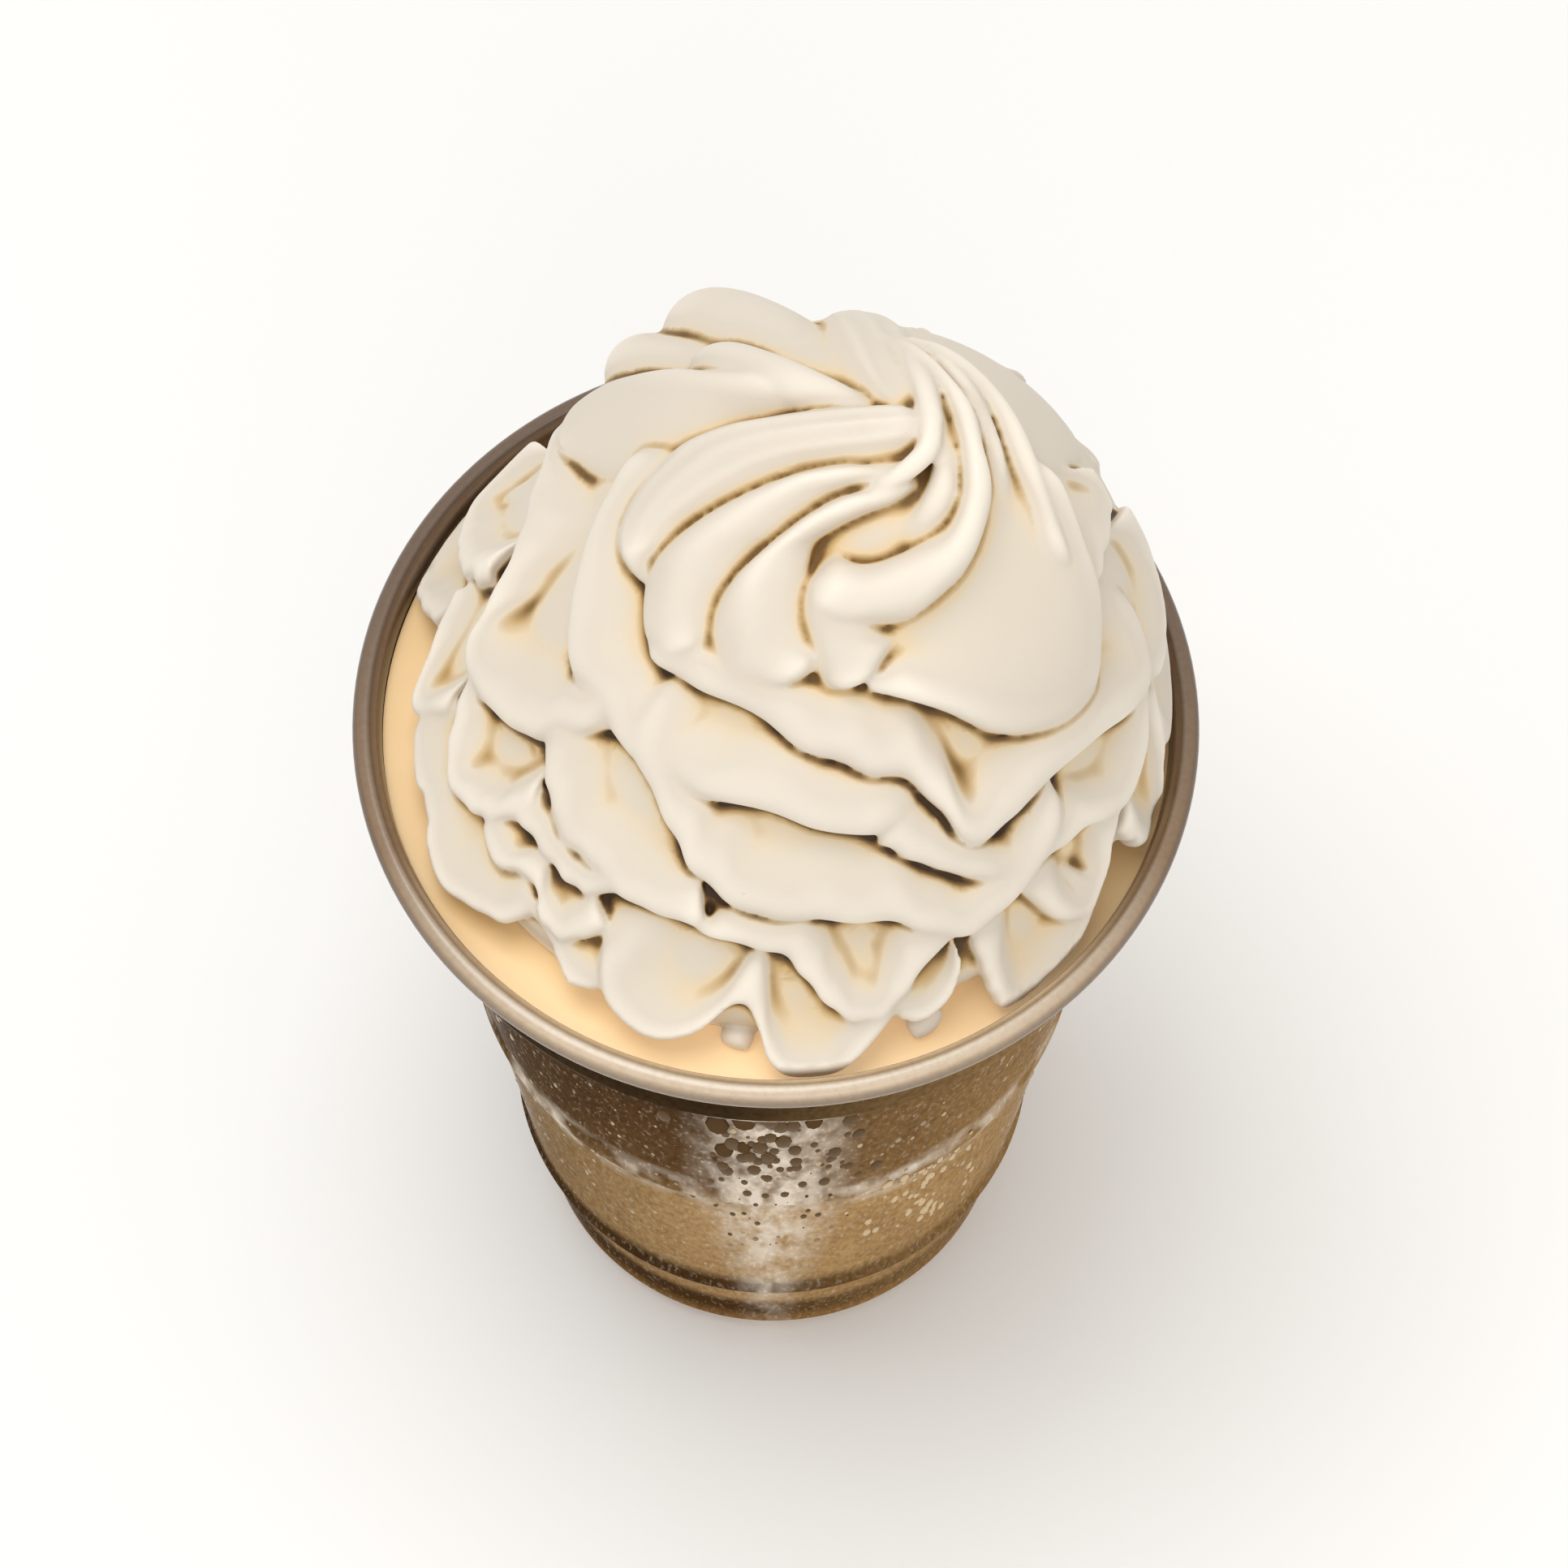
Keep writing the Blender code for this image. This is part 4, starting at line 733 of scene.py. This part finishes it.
def cream_core():
    """The dome itself, set in by the core's depth, as rings that close to a point above and a
    flat below."""
    azimuth = np.linspace(0, 2 * math.pi, CORE_TURNS, endpoint=False)
    level = np.linspace(*CORE_SPAN, CORE_LEVELS)
    flat = level[:, None, None] * np.stack([np.cos(azimuth), np.sin(azimuth)], -1)
    fall = np.clip((level - CORE_EDGE) / (level[-1] - CORE_EDGE), 0, 1) ** 2
    depth = CORE_DEPTH[0] + (CORE_DEPTH[1] - CORE_DEPTH[0]) * fall
    rings = dome(flat) - dome_normal(flat) * depth[:, None, None]
    below = rings[-1:] - (0, 0, CORE_BELOW)
    return np.vstack([rings, below])


def back_petals():
    """Petals for the side away from the front, staggered in tiers, each a little different."""
    draw = np.random.default_rng(BACK_SEED)
    found = []
    first, last = BACK_AZIMUTHS
    for tier, (level, count) in enumerate(BACK_TIERS):
        width = (last - first) / count
        for k in range(count):
            middle = first + width * (k + 0.5 + BACK_STAGGER * (-1) ** tier)
            middle += draw.uniform(-BACK_AZIMUTH_PLAY, BACK_AZIMUTH_PLAY)
            low = level + draw.uniform(-BACK_LEVEL_PLAY, BACK_LEVEL_PLAY)
            half = width * draw.uniform(*BACK_HALF_WIDTHS)
            lip = [(middle + share * half, low - above) for share, above in BACK_LIP]
            heart = (middle, low - BACK_HEART_ABOVE)
            found.append((heart, draw.uniform(*BACK_LIFTS), *BACK_SHAPE, lip))
    return found


def tube(radius, centre, side, up, around):
    """Rings round a path, each as wide as its radius times a flattened arch of the way along, so
    both ends close."""
    t = np.linspace(-1, 1, len(centre))[:, None]
    width = radius * np.maximum(1 - t**TUBE_BLUNTNESS, TUBE_THINNEST) ** 0.5
    turn = np.linspace(0, 2 * math.pi, around, endpoint=False)[None, :, None]
    return centre[:, None] + width[:, None] * (np.cos(turn) * side[:, None]
                                               + np.sin(turn) * up[:, None])


def strand_grid(path):
    """A tube along places of the dome, each with its height off it and its radius."""
    steps, around = STRAND_STEPS
    flat = spread([on_map(place) for place in path], steps)
    size = spread([place[2:] for place in path], steps)
    centre = dome(flat) + dome_normal(flat) * size[:, :1]
    tangent = unit(np.gradient(centre, axis=0))
    side = unit(np.cross(tangent, dome_normal(flat)))
    return tube(size[:, 1:], centre, side, np.cross(side, tangent), around)


def knob_grid(radius, path):
    """A tube along points in space."""
    steps, around = KNOB_STEPS
    centre = spread(path, steps)
    tangent = unit(np.gradient(centre, axis=0))
    side = unit(np.cross(tangent, (0, 0, 1.0)))
    return tube(radius, centre, side, np.cross(side, tangent), around)


def joined(name, grids):
    """One mesh from grids whose rows are closed loops, each grid with both ends capped."""
    points, faces, count = [], [], 0
    for grid in grids:
        rows, around = grid.shape[:2]
        points.append(grid.reshape(-1, 3))
        faces += quads(rows, around, count).tolist()
        faces.append(list(range(count, count + around)))
        faces.append(list(range(count + (rows - 1) * around, count + rows * around))[::-1])
        count += rows * around
    return solid(name, np.vstack(points), faces)


def apply_modifiers(obj):
    """Keeps the shape that the object's modifiers give, and drops the modifiers."""
    graph = bpy.context.evaluated_depsgraph_get()
    mesh = bpy.data.meshes.new_from_object(obj.evaluated_get(graph))
    obj.modifiers.clear()
    obj.data = mesh


def keep_largest(obj):
    """Drops loose scraps and sealed hollows: only the body with the most points stays."""
    mesh = obj.data
    edges = np.empty(len(mesh.edges) * 2, np.int32)
    mesh.edges.foreach_get("vertices", edges)
    a, b = edges.reshape(-1, 2).T
    label = np.arange(len(mesh.vertices))
    while True:
        low = np.minimum(label[a], label[b])
        new = label.copy()
        np.minimum.at(new, a, low)
        np.minimum.at(new, b, low)
        new = new[new]
        if (new == label).all():
            break
        label = new
    names, counts = np.unique(label, return_counts=True)
    keep = names[counts.argmax()]
    shape = bmesh.new()
    shape.from_mesh(mesh)
    shape.verts.ensure_lookup_table()
    loose = [shape.verts[i] for i in np.nonzero(label != keep)[0]]
    bmesh.ops.delete(shape, geom=loose, context="VERTS")
    shape.to_mesh(mesh)
    shape.free()


def write_hollows(obj):
    """Two values for every point: how deep it lies below the mean of its near neighbours, along
    its normal. A tight crease counts from 0, and a wide hollow from a half, so that a crest counts
    less. The cream's painted shade and painted glow are made from these."""
    mesh = obj.data
    places = np.empty(len(mesh.vertices) * 3)
    mesh.vertices.foreach_get("co", places)
    places = places.reshape(-1, 3)
    normals = np.empty(places.size)
    mesh.vertices.foreach_get("normal", normals)
    normals = normals.reshape(-1, 3)
    ends = np.empty(len(mesh.edges) * 2, np.int32)
    mesh.edges.foreach_get("vertices", ends)
    a, b = ends.reshape(-1, 2).T
    count = np.bincount(np.concatenate([a, b]), minlength=len(places))
    mean = places.copy()
    for name, passes, full, rest in (("crease", CREASE_PASSES, CREASE_FULL, 0.0),
                                     ("hollow", HOLLOW_PASSES, HOLLOW_FULL, HOLLOW_REST)):
        for _ in range(passes):
            total = np.stack([np.bincount(a, mean[b, k], len(places))
                              + np.bincount(b, mean[a, k], len(places)) for k in range(3)], -1)
            mean = PLACE_MIX[0] * mean + PLACE_MIX[1] * total / np.maximum(count, 1)[:, None]
        depth = ((mean - places) * normals).sum(-1) / (full * MM)
        for _ in range(DEPTH_PASSES):
            near = np.bincount(a, depth[b], len(depth)) + np.bincount(b, depth[a], len(depth))
            depth = DEPTH_MIX[0] * depth + DEPTH_MIX[1] * near / np.maximum(count, 1)
        layer = mesh.attributes.new(name, "FLOAT", "POINT")
        layer.data.foreach_set("value", np.clip(rest + depth, 0, 1).astype(np.float32))


def whipped_cream():
    """All petals and strands over the core, joined by even cells, softened and cut to the room
    that the cup and the drink leave."""
    grids = [cream_core()]
    grids += [petal_grid(*petal) for petal in PETALS.values()]
    grids += [petal_grid(*petal) for petal in back_petals()]
    grids += [lobe_grid(*lobe) for lobe in LOBES.values()]
    grids += [strand_grid(strand) for strand in STRANDS.values()]
    grids += [knob_grid(*knob) for knob in KNOBS.values()]
    cream = joined("fine_cream", grids)
    cells = cream.modifiers.new("cells", "REMESH")
    cells.mode = "VOXEL"
    cells.voxel_size = CELL * MM
    soften = cream.modifiers.new("soften", "SMOOTH")
    soften.factor = SOFTEN_FACTOR
    soften.iterations = SOFTEN_PASSES
    apply_modifiers(cream)
    keep_largest(cream)
    room = turned("cream_room", [
        (0, CREAM_CEILING), (CREAM_RIM_RADIUS, CREAM_CEILING),
        (CREAM_RIM_RADIUS, CREAM_WIDE_FROM), (CREAM_CLEAR_RADIUS, CREAM_OVER_RIM),
        (CREAM_CLEAR_RADIUS, CREAM_LOWEST), (0, CREAM_LOWEST),
    ], ROOM_STEPS)
    cut = cream.modifiers.new("room", "BOOLEAN")
    cut.operation = "INTERSECT"
    cut.object = room
    cut.solver = "MANIFOLD"
    apply_modifiers(cream)
    bpy.data.objects.remove(room)
    keep_largest(cream)
    write_hollows(cream)
    triangles = sum(len(face.vertices) - 2 for face in cream.data.polygons)
    thin = cream.modifiers.new("thin", "DECIMATE")
    thin.ratio = min(1.0, MOST_TRIANGLES / triangles)
    apply_modifiers(cream)
    cream.data.shade_smooth()
    return cream


# ================================================================ materials
def linear(hex_colour):
    """An sRGB hex colour as linear values."""
    value = [int(hex_colour[i:i + 2], 16) / 255 for i in (1, 3, 5)]
    return tuple(c / 12.92 if c <= 0.04045 else ((c + 0.055) / 1.055) ** 2.4 for c in value) + (1,)


def feed(made, node, inputs):
    """Links each input that is given a socket, and sets the others."""
    for key, value in inputs.items():
        if isinstance(value, bpy.types.NodeSocket):
            made.node_tree.links.new(node.inputs[key], value)
        else:
            node.inputs[key].default_value = value


def add(made, kind, *inputs, output=0, stops=(), **settings):
    """One output of a new node of this kind. Its inputs come in their order, or in a dict by name
    or number, its properties by name, and a ramp's stops as positions and hex colours."""
    node = made.node_tree.nodes.new("ShaderNode" + kind)
    for key, value in settings.items():
        setattr(node, key, value)
    in_dict = len(inputs) == 1 and isinstance(inputs[0], dict)
    feed(made, node, inputs[0] if in_dict else dict(enumerate(inputs)))
    if stops:
        elements = node.color_ramp.elements
        while len(elements) < len(stops):
            elements.new(0.5)
        for element, (position, colour) in zip(elements, stops):
            element.position, element.color = position, linear(colour)
    return node.outputs[output]


def places(made):
    """The object coordinates as one vector and as three numbers, in metres."""
    place = add(made, "TexCoord", output="Object")
    return place, *add(made, "SeparateXYZ", place).node.outputs


def run_down(made, place):
    """Places whose patterns come out taller than wide, as water that runs down a wall."""
    return add(made, "Mapping", {"Vector": place, "Scale": (1, 1, 1 / RUN_DOWN)})


def patches(made, place, size, start, contrast):
    """Lumps of noise of this size in millimetres: what stands over the start, times the
    contrast, between 0 and 1."""
    lumps = add(made, "TexNoise", {"Vector": place, "Scale": 1000 / size})
    over = add(made, "Math", lumps, start, operation="SUBTRACT")
    return add(made, "Math", over, contrast, operation="MULTIPLY", use_clamp=True)


def material(name):
    """A new material and its shader."""
    made = bpy.data.materials.new(name)
    made.use_nodes = True
    return made, made.node_tree.nodes["Principled BSDF"]


def cream_material():
    """Whipped dairy cream, piped: matt, softly see-through fat foam. Its colour holds painted
    light
    and shade: wide hollows are painted with a warm glow for light that comes back from wall to
    wall, crests are painted lighter, and tight creases carry thin brown lines of painted shade,
    fainter in the rosette on top and in the petals at the foot."""
    made, shader = material("whipped_dairy_cream")
    z = places(made)[3]
    hollow = add(made, "Attribute", attribute_name="hollow", output="Fac")
    crease = add(made, "Attribute", attribute_name="crease", output="Fac")
    # Painted light and shade: wide hollows glow golden as painted bounced light, shallow ones are
    # painted grey as shade, and crests lighter.
    painted_hollow_light = add(made, "ValToRGB", hollow, stops=(
        (0.25, "#F0E7DA"), (0.44, "#DDD3C5"), (0.54, "#DFD4C3"), (0.68, "#EBD1A3"),
        (0.94, "#DFB062")))
    above = add(made, "MapRange", z, CREASE_SHADE_FOOT[0] * MM, CREASE_SHADE_FOOT[1] * MM, CREASE_SHADE_LEAST, 1.0)
    below = add(made, "MapRange", z, CREASE_SHADE_TOP[0] * MM, CREASE_SHADE_TOP[1] * MM, 1.0, CREASE_SHADE_LEAST)
    crease_shade_reach = add(made, "Math", above, below, operation="MULTIPLY")
    crease_shade_strength = add(made, "Math", crease, crease_shade_reach, operation="MULTIPLY")
    # Painted shade: the deeper a crease, the darker brown it is painted.
    painted_crease_shade = add(made, "ValToRGB", crease_shade_strength, stops=(
        (0.26, "#FFFFFF"), (0.46, "#DED1BA"), (0.64, "#93805E"), (0.86, "#453318")))
    colour = add(made, "Mix", {0: 1.0, 6: painted_hollow_light, 7: painted_crease_shade}, data_type="RGBA",
                 blend_type="MULTIPLY", output=2)
    feed(made, shader, {
        "Base Color": colour, "Roughness": 0.55, "IOR": 1.4, "Subsurface Weight": 0.3,
        "Subsurface Radius": (1.0, 0.75, 0.45), "Subsurface Scale": GLOW_DEPTH * MM})
    return made


def through_wall(made, place, x, z):
    """The brown that the drink takes behind the wet wall, with painted light and shade: painted
    shade where the rim shades it and in rings at the heel and the ledge, paler below the rib as a
    painted bounce from the floor, painted shade on the left, painted golden light on the right,
    and finely mottled."""
    height = add(made, "Math", z, DRINK_LEVEL * MM, operation="DIVIDE")
    # Painted shade and light by height: dark under the rim and in rings at the heel and the ledge,
    # paler below the rib.
    side = add(made, "ValToRGB", height, stops=(
        (0.02, "#B88C54"), (0.07, "#5A3F22"), (0.10, "#5A3F22"), (0.125, "#C4A070"),
        (0.16, "#C4A070"), (0.18, "#563C22"), (0.205, "#563C22"), (0.235, "#C8A473"),
        (0.48, "#D0AC7A"), (0.56, "#7C5C3A"), (0.76, "#6A4C30"), (0.93, "#3F2F1D")))
    # Painted golden light on the right and painted shade on the left.
    right = add(made, "Math", x, 1000 / PAINTED_LIGHT_FADE, PAINTED_LIGHT_MIDDLE, operation="MULTIPLY_ADD",
                use_clamp=True)
    painted_shade_left = add(made, "Math", x, -1000 / PAINTED_SHADE_FADE, operation="MULTIPLY", use_clamp=True)
    for share, tone in ((right, "#BE9A68"), (painted_shade_left, "#4E3D28")):
        side = add(made, "Mix", {0: share, 6: side, 7: linear(tone)}, data_type="RGBA", output=2)
    tall = run_down(made, place)
    parts = []
    for size, share in (FINE_MOTTLE, WIDE_MOTTLE):
        lumps = add(made, "TexNoise", {"Vector": tall, "Scale": 1000 / size})
        parts.append(add(made, "Math", lumps, share, operation="MULTIPLY"))
    tone = add(made, "Math", *parts, operation="ADD")
    shades = add(made, "ValToRGB", tone, stops=(
        (0.34, "#9C8D7A"), (0.50, "#DAD0C4"), (0.66, "#FFFFFF")))
    return add(made, "Mix", {0: MOTTLE_SHARE, 6: side, 7: shades}, data_type="RGBA",
               blend_type="MULTIPLY", output=2)


def drink_material():
    """Blended milkshake: opaque, pale orange on top. Through the wet wall it reads brown, with
    painted shade where the rim shades it and paler below the rib, with no gloss where it wets the
    wall. A painted light, a faint glow, lifts the strip in front, under the cream's skirt, out of
    its shade."""
    made, shader = material("blended_milkshake")
    place, x, y, z = places(made)
    side = through_wall(made, place, x, z)
    swirls = add(made, "TexNoise", {"Vector": place, "Scale": 1000 / SWIRL_SIZE})
    top = add(made, "ValToRGB", swirls, stops=((0.3, "#F6D096"), (0.7, "#F9D8A3")))
    shows_top = add(made, "Math", z, (DRINK_LEVEL - TOP_EDGE) * MM, operation="GREATER_THAN")
    colour = add(made, "Mix", {0: shows_top, 6: side, 7: top}, data_type="RGBA", output=2)
    gloss = add(made, "Math", shows_top, DRINK_GLOSS, operation="MULTIPLY")
    # Painted light: the drink's top glows faintly in front, where the cream shades it.
    near = add(made, "Math", y, -1000 / FRONT_GLOW_FADE, FRONT_GLOW_MIDDLE, operation="MULTIPLY_ADD",
               use_clamp=True)
    near_top = add(made, "Math", shows_top, near, operation="MULTIPLY")
    front_glow_strength = add(made, "Math", near_top, PAINTED_FRONT_GLOW, operation="MULTIPLY")
    feed(made, shader, {
        "Base Color": colour, "Roughness": 0.35, "Specular IOR Level": gloss,
        "Emission Color": linear("#FFE6C0"), "Emission Strength": front_glow_strength})
    return made


def wall_fog_and_glare(made, place, x, y, z):
    """How far the wall is painted pale, from 0 to 1: a patch that hangs down the front, partly fog
    and partly a painted reflection, streaks of painted highlight along the rib and a thin mist all
    round, none of it on the rim."""
    tall = run_down(made, place)
    # A patch of fog and painted reflection down the front, and painted highlight streaks along the
    # rib.
    front = add(made, "Math", y, -1000 / FRONT_FADE, operation="MULTIPLY", use_clamp=True)
    reach = add(made, "MapRange", z, FOG_GLARE_LOW[0] * MM, FOG_GLARE_HIGH[0] * MM,
                FOG_GLARE_LOW[1] * MM, FOG_GLARE_HIGH[1] * MM)
    off_middle = add(made, "Math", x, operation="ABSOLUTE")
    inside = add(made, "Math", reach, off_middle, operation="SUBTRACT")
    front_glare_patch = add(made, "Math", inside, 1000 / FOG_GLARE_EDGE, operation="MULTIPLY", use_clamp=True)
    lumps = patches(made, tall, *FOG_GLARE_LUMPS)
    front_glare_patch = add(made, "Math", front_glare_patch, lumps, operation="MULTIPLY")
    front_glare_patch = add(made, "Math", front_glare_patch, front, operation="MULTIPLY")
    from_rib = add(made, "Math", z, RIB_Z * MM, operation="SUBTRACT")
    off_rib = add(made, "Math", from_rib, operation="ABSOLUTE")
    fade = add(made, "Math", off_rib, 1000 / RIB_HIGHLIGHT_FADE, operation="MULTIPLY")
    near_rib = add(made, "Math", RIB_HIGHLIGHT, fade, operation="SUBTRACT", use_clamp=True)
    streaks = patches(made, place, *RIB_STREAKS)
    rib_highlight = add(made, "Math", near_rib, streaks, operation="MULTIPLY")
    rib_highlight = add(made, "Math", rib_highlight, front, operation="MULTIPLY")
    grains = add(made, "TexNoise", {"Vector": tall, "Scale": 1000 / MIST_GRAIN})
    grains = add(made, "Math", grains, MIST_CONTRAST, operation="MULTIPLY")
    mist = add(made, "Math", grains, MIST_START, operation="SUBTRACT", use_clamp=True)
    mist = add(made, "Math", mist, MIST_SHARE, operation="MULTIPLY")
    glare_and_highlight = add(made, "Math", front_glare_patch, rib_highlight, operation="MAXIMUM")
    fog_and_glare = add(made, "Math", glare_and_highlight, mist, operation="ADD", use_clamp=True)
    below_rim = add(made, "Math", z, BAND_FOOT[1] * MM, operation="LESS_THAN")
    return add(made, "Math", fog_and_glare, below_rim, operation="MULTIPLY")


def rim_colour(made, place, x, y):
    """The thick rolled rim: paler in front and darker at the sides as a painted reflection, in
    rings of painted highlight and shade by the distance from the cup's axis, with a faint mottle."""
    # Painted reflection: paler in front, darker at the sides and the back.
    painted_rim_light = add(made, "Math", y, -1000 / RIM_LIGHT_FADE, RIM_LIGHT_MIDDLE, operation="MULTIPLY_ADD",
                   use_clamp=True)
    tint = add(made, "ValToRGB", painted_rim_light, stops=(
        (0.0, "#7C695B"), (0.6, "#A08972"), (1.0, "#EEDFCC")))
    # Rings of painted highlight and painted shade across the rolled rim.
    squares = [add(made, "Math", side, side, operation="MULTIPLY") for side in (x, y)]
    across = add(made, "Math", add(made, "Math", *squares, operation="ADD"), operation="SQRT")
    ring = add(made, "MapRange", across, RIM_HIGHLIGHT_RINGS[0] * MM, RIM_HIGHLIGHT_RINGS[1] * MM)
    rings = add(made, "ValToRGB", ring, stops=(
        (0.0, "#7A6230"), (0.18, "#FFF0D8"), (0.36, "#A68E62"), (0.50, "#FFFFFF"),
        (0.80, "#F4E8D8"), (1.0, "#806A50")))
    lumps = add(made, "TexNoise", {"Vector": place, "Scale": 1000 / RIM_MOTTLE_SIZE})
    mottle = add(made, "ValToRGB", lumps, stops=((0.38, "#CDBDA8"), (0.55, "#FFFFFF")))
    for share, layer in ((RIM_HIGHLIGHT_RINGS_SHARE, rings), (RIM_MOTTLE_SHARE, mottle)):
        tint = add(made, "Mix", {0: share, 6: tint, 7: layer}, data_type="RGBA",
                   blend_type="MULTIPLY", output=2)
    return tint


def cup_material():
    """Clear thermoformed PET, cold and misted: the rolled rim is thick and holds the drink's
    brown, with painted highlight and shade; a pale patch, partly fog and partly a painted
    reflection, hangs down the front, and streaks of painted highlight run along the rib."""
    made, shader = material("clear_pet")
    place, x, y, z = places(made)
    fog_and_glare = wall_fog_and_glare(made, place, x, y, z)
    rim = add(made, "Math", z, RIM_TINT_Z * MM, operation="GREATER_THAN")
    # The wall takes the pale colour of fog and of the painted reflection and highlights.
    wall = add(made, "Mix", {0: fog_and_glare, 6: through_wall(made, place, x, z), 7: linear("#E4D7C6")},
               data_type="RGBA", output=2)
    colour = add(made, "Mix", {0: rim, 6: wall, 7: rim_colour(made, place, x, y)},
                 data_type="RGBA", output=2)
    rough = add(made, "Math", fog_and_glare, FOG_ROUGHNESS, WALL_ROUGHNESS, operation="MULTIPLY_ADD")
    rim_rough = add(made, "Math", rim, RIM_ROUGHNESS, operation="MULTIPLY")
    feed(made, shader, {
        "Base Color": colour,
        "Transmission Weight": add(made, "Math", fog_and_glare, -WALL_CLEAR, WALL_CLEAR,
                                   operation="MULTIPLY_ADD"),
        "Roughness": add(made, "Math", rough, rim_rough, operation="ADD"),
        "IOR": add(made, "Math", rim, RIM_IOR - WALL_IOR, WALL_IOR, operation="MULTIPLY_ADD"),
        "Specular IOR Level": add(made, "Math", rim, RIM_GLOSS - WALL_GLOSS, WALL_GLOSS,
                                  operation="MULTIPLY_ADD")})
    return made


def dew_material():
    """Beads of condensed water: clear, and each bends what lies behind it, so it takes a painted
    tint of its own that stands for what it shows and for light: dark in the fog, and golden, as
    painted glints, low on the right."""
    made, shader = material("condensed_water")
    tint = add(made, "Attribute", attribute_name="tint", output="Fac")
    # Painted tints: dark in the fog, golden for the painted glints.
    colour = add(made, "ValToRGB", tint, stops=(
        (0.0, "#5A432C"), (0.5, "#A98F6C"), (1.0, "#F0D2A0")))
    wetness = add(made, "Math", tint, DEW_CLEAR, operation="MULTIPLY")
    feed(made, shader, {
        "Base Color": colour, "Roughness": 0.12, "IOR": 1.33,
        "Specular IOR Level": wetness, "Transmission Weight": wetness})
    return made


# ================================================================ room, light and camera
def floor():
    """A plain pale floor, one large sheet at the foot of the cup."""
    half = FLOOR_HALF
    corners = [(-half, -half, 0), (half, -half, 0), (half, half, 0), (-half, half, 0)]
    sheet = solid("floor", corners, [(0, 1, 2, 3)])
    made, shader = material("matt_white_card")
    shader.inputs["Base Color"].default_value = linear("#FFFFFF")
    shader.inputs["Roughness"].default_value = 0.9
    sheet.data.materials.append(made)


def soft_light(name, place, aim, size, power):
    """A square lamp at a place, turned to what it lights."""
    lamp = bpy.data.lights.new(name, "AREA")
    lamp.size = size
    lamp.energy = power
    obj = bpy.data.objects.new(name, lamp)
    obj.location = Vector(place)
    obj.rotation_euler = (Vector(aim) - obj.location).to_track_quat("-Z", "Y").to_euler()
    bpy.context.scene.collection.objects.link(obj)


def camera():
    """The photograph's camera: it looks down at the rim's middle from in front."""
    lens = bpy.data.cameras.new("camera")
    lens.sensor_width = SENSOR
    lens.lens = FOCAL_PIXELS / PHOTO_SIDE * SENSOR
    lens.clip_start = 0.01
    elevation = math.radians(CAMERA_ELEVATION)
    forward = Vector((0, math.cos(elevation), -math.sin(elevation)))
    right = Vector((1, 0, 0))
    up = right.cross(forward)
    pitch = Matrix.Rotation(math.radians(CAMERA_PITCH), 3, right)
    forward, up = pitch @ forward, pitch @ up
    yaw = Matrix.Rotation(math.radians(CAMERA_YAW), 3, up)
    forward, right = yaw @ forward, yaw @ right
    roll = Matrix.Rotation(math.radians(CAMERA_ROLL), 3, forward)
    right, up = roll @ right, roll @ up
    place = Vector((0, -CAMERA_DISTANCE * math.cos(elevation),
                    CUP_HEIGHT + CAMERA_DISTANCE * math.sin(elevation))) * MM
    turn = Matrix((right, up, -forward)).transposed()
    obj = bpy.data.objects.new("camera", lens)
    obj.matrix_world = Matrix.Translation(place) @ turn.to_4x4()
    bpy.context.scene.collection.objects.link(obj)
    bpy.context.scene.camera = obj


def studio():
    """Soft light from above, a little on the left, a faint fill in front, and a pale surround."""
    world = bpy.data.worlds.new("studio")
    world.use_nodes = True
    background = world.node_tree.nodes["Background"]
    background.inputs["Color"].default_value = linear(SURROUND_COLOUR)
    background.inputs["Strength"].default_value = SURROUND_STRENGTH
    bpy.context.scene.world = world
    soft_light("softbox", *SOFTBOX)
    soft_light("fill", *FILL)
    bpy.context.scene.view_settings.view_transform = "Standard"


# ================================================================ the model
camera()
studio()
floor()

pieces = (
    (cup(), "cup", "clear_plastic", cup_material()),
    (dew(), "cup", "clear_plastic", dew_material()),
    (drink(), "milkshake", "milkshake", drink_material()),
    (whipped_cream(), "whipped_cream", "cream", cream_material()),
)
for piece, node, slot, finish in pieces:
    piece.data.materials.clear()
    piece.data.materials.append(finish)
    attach(piece, "root")
    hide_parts(node)
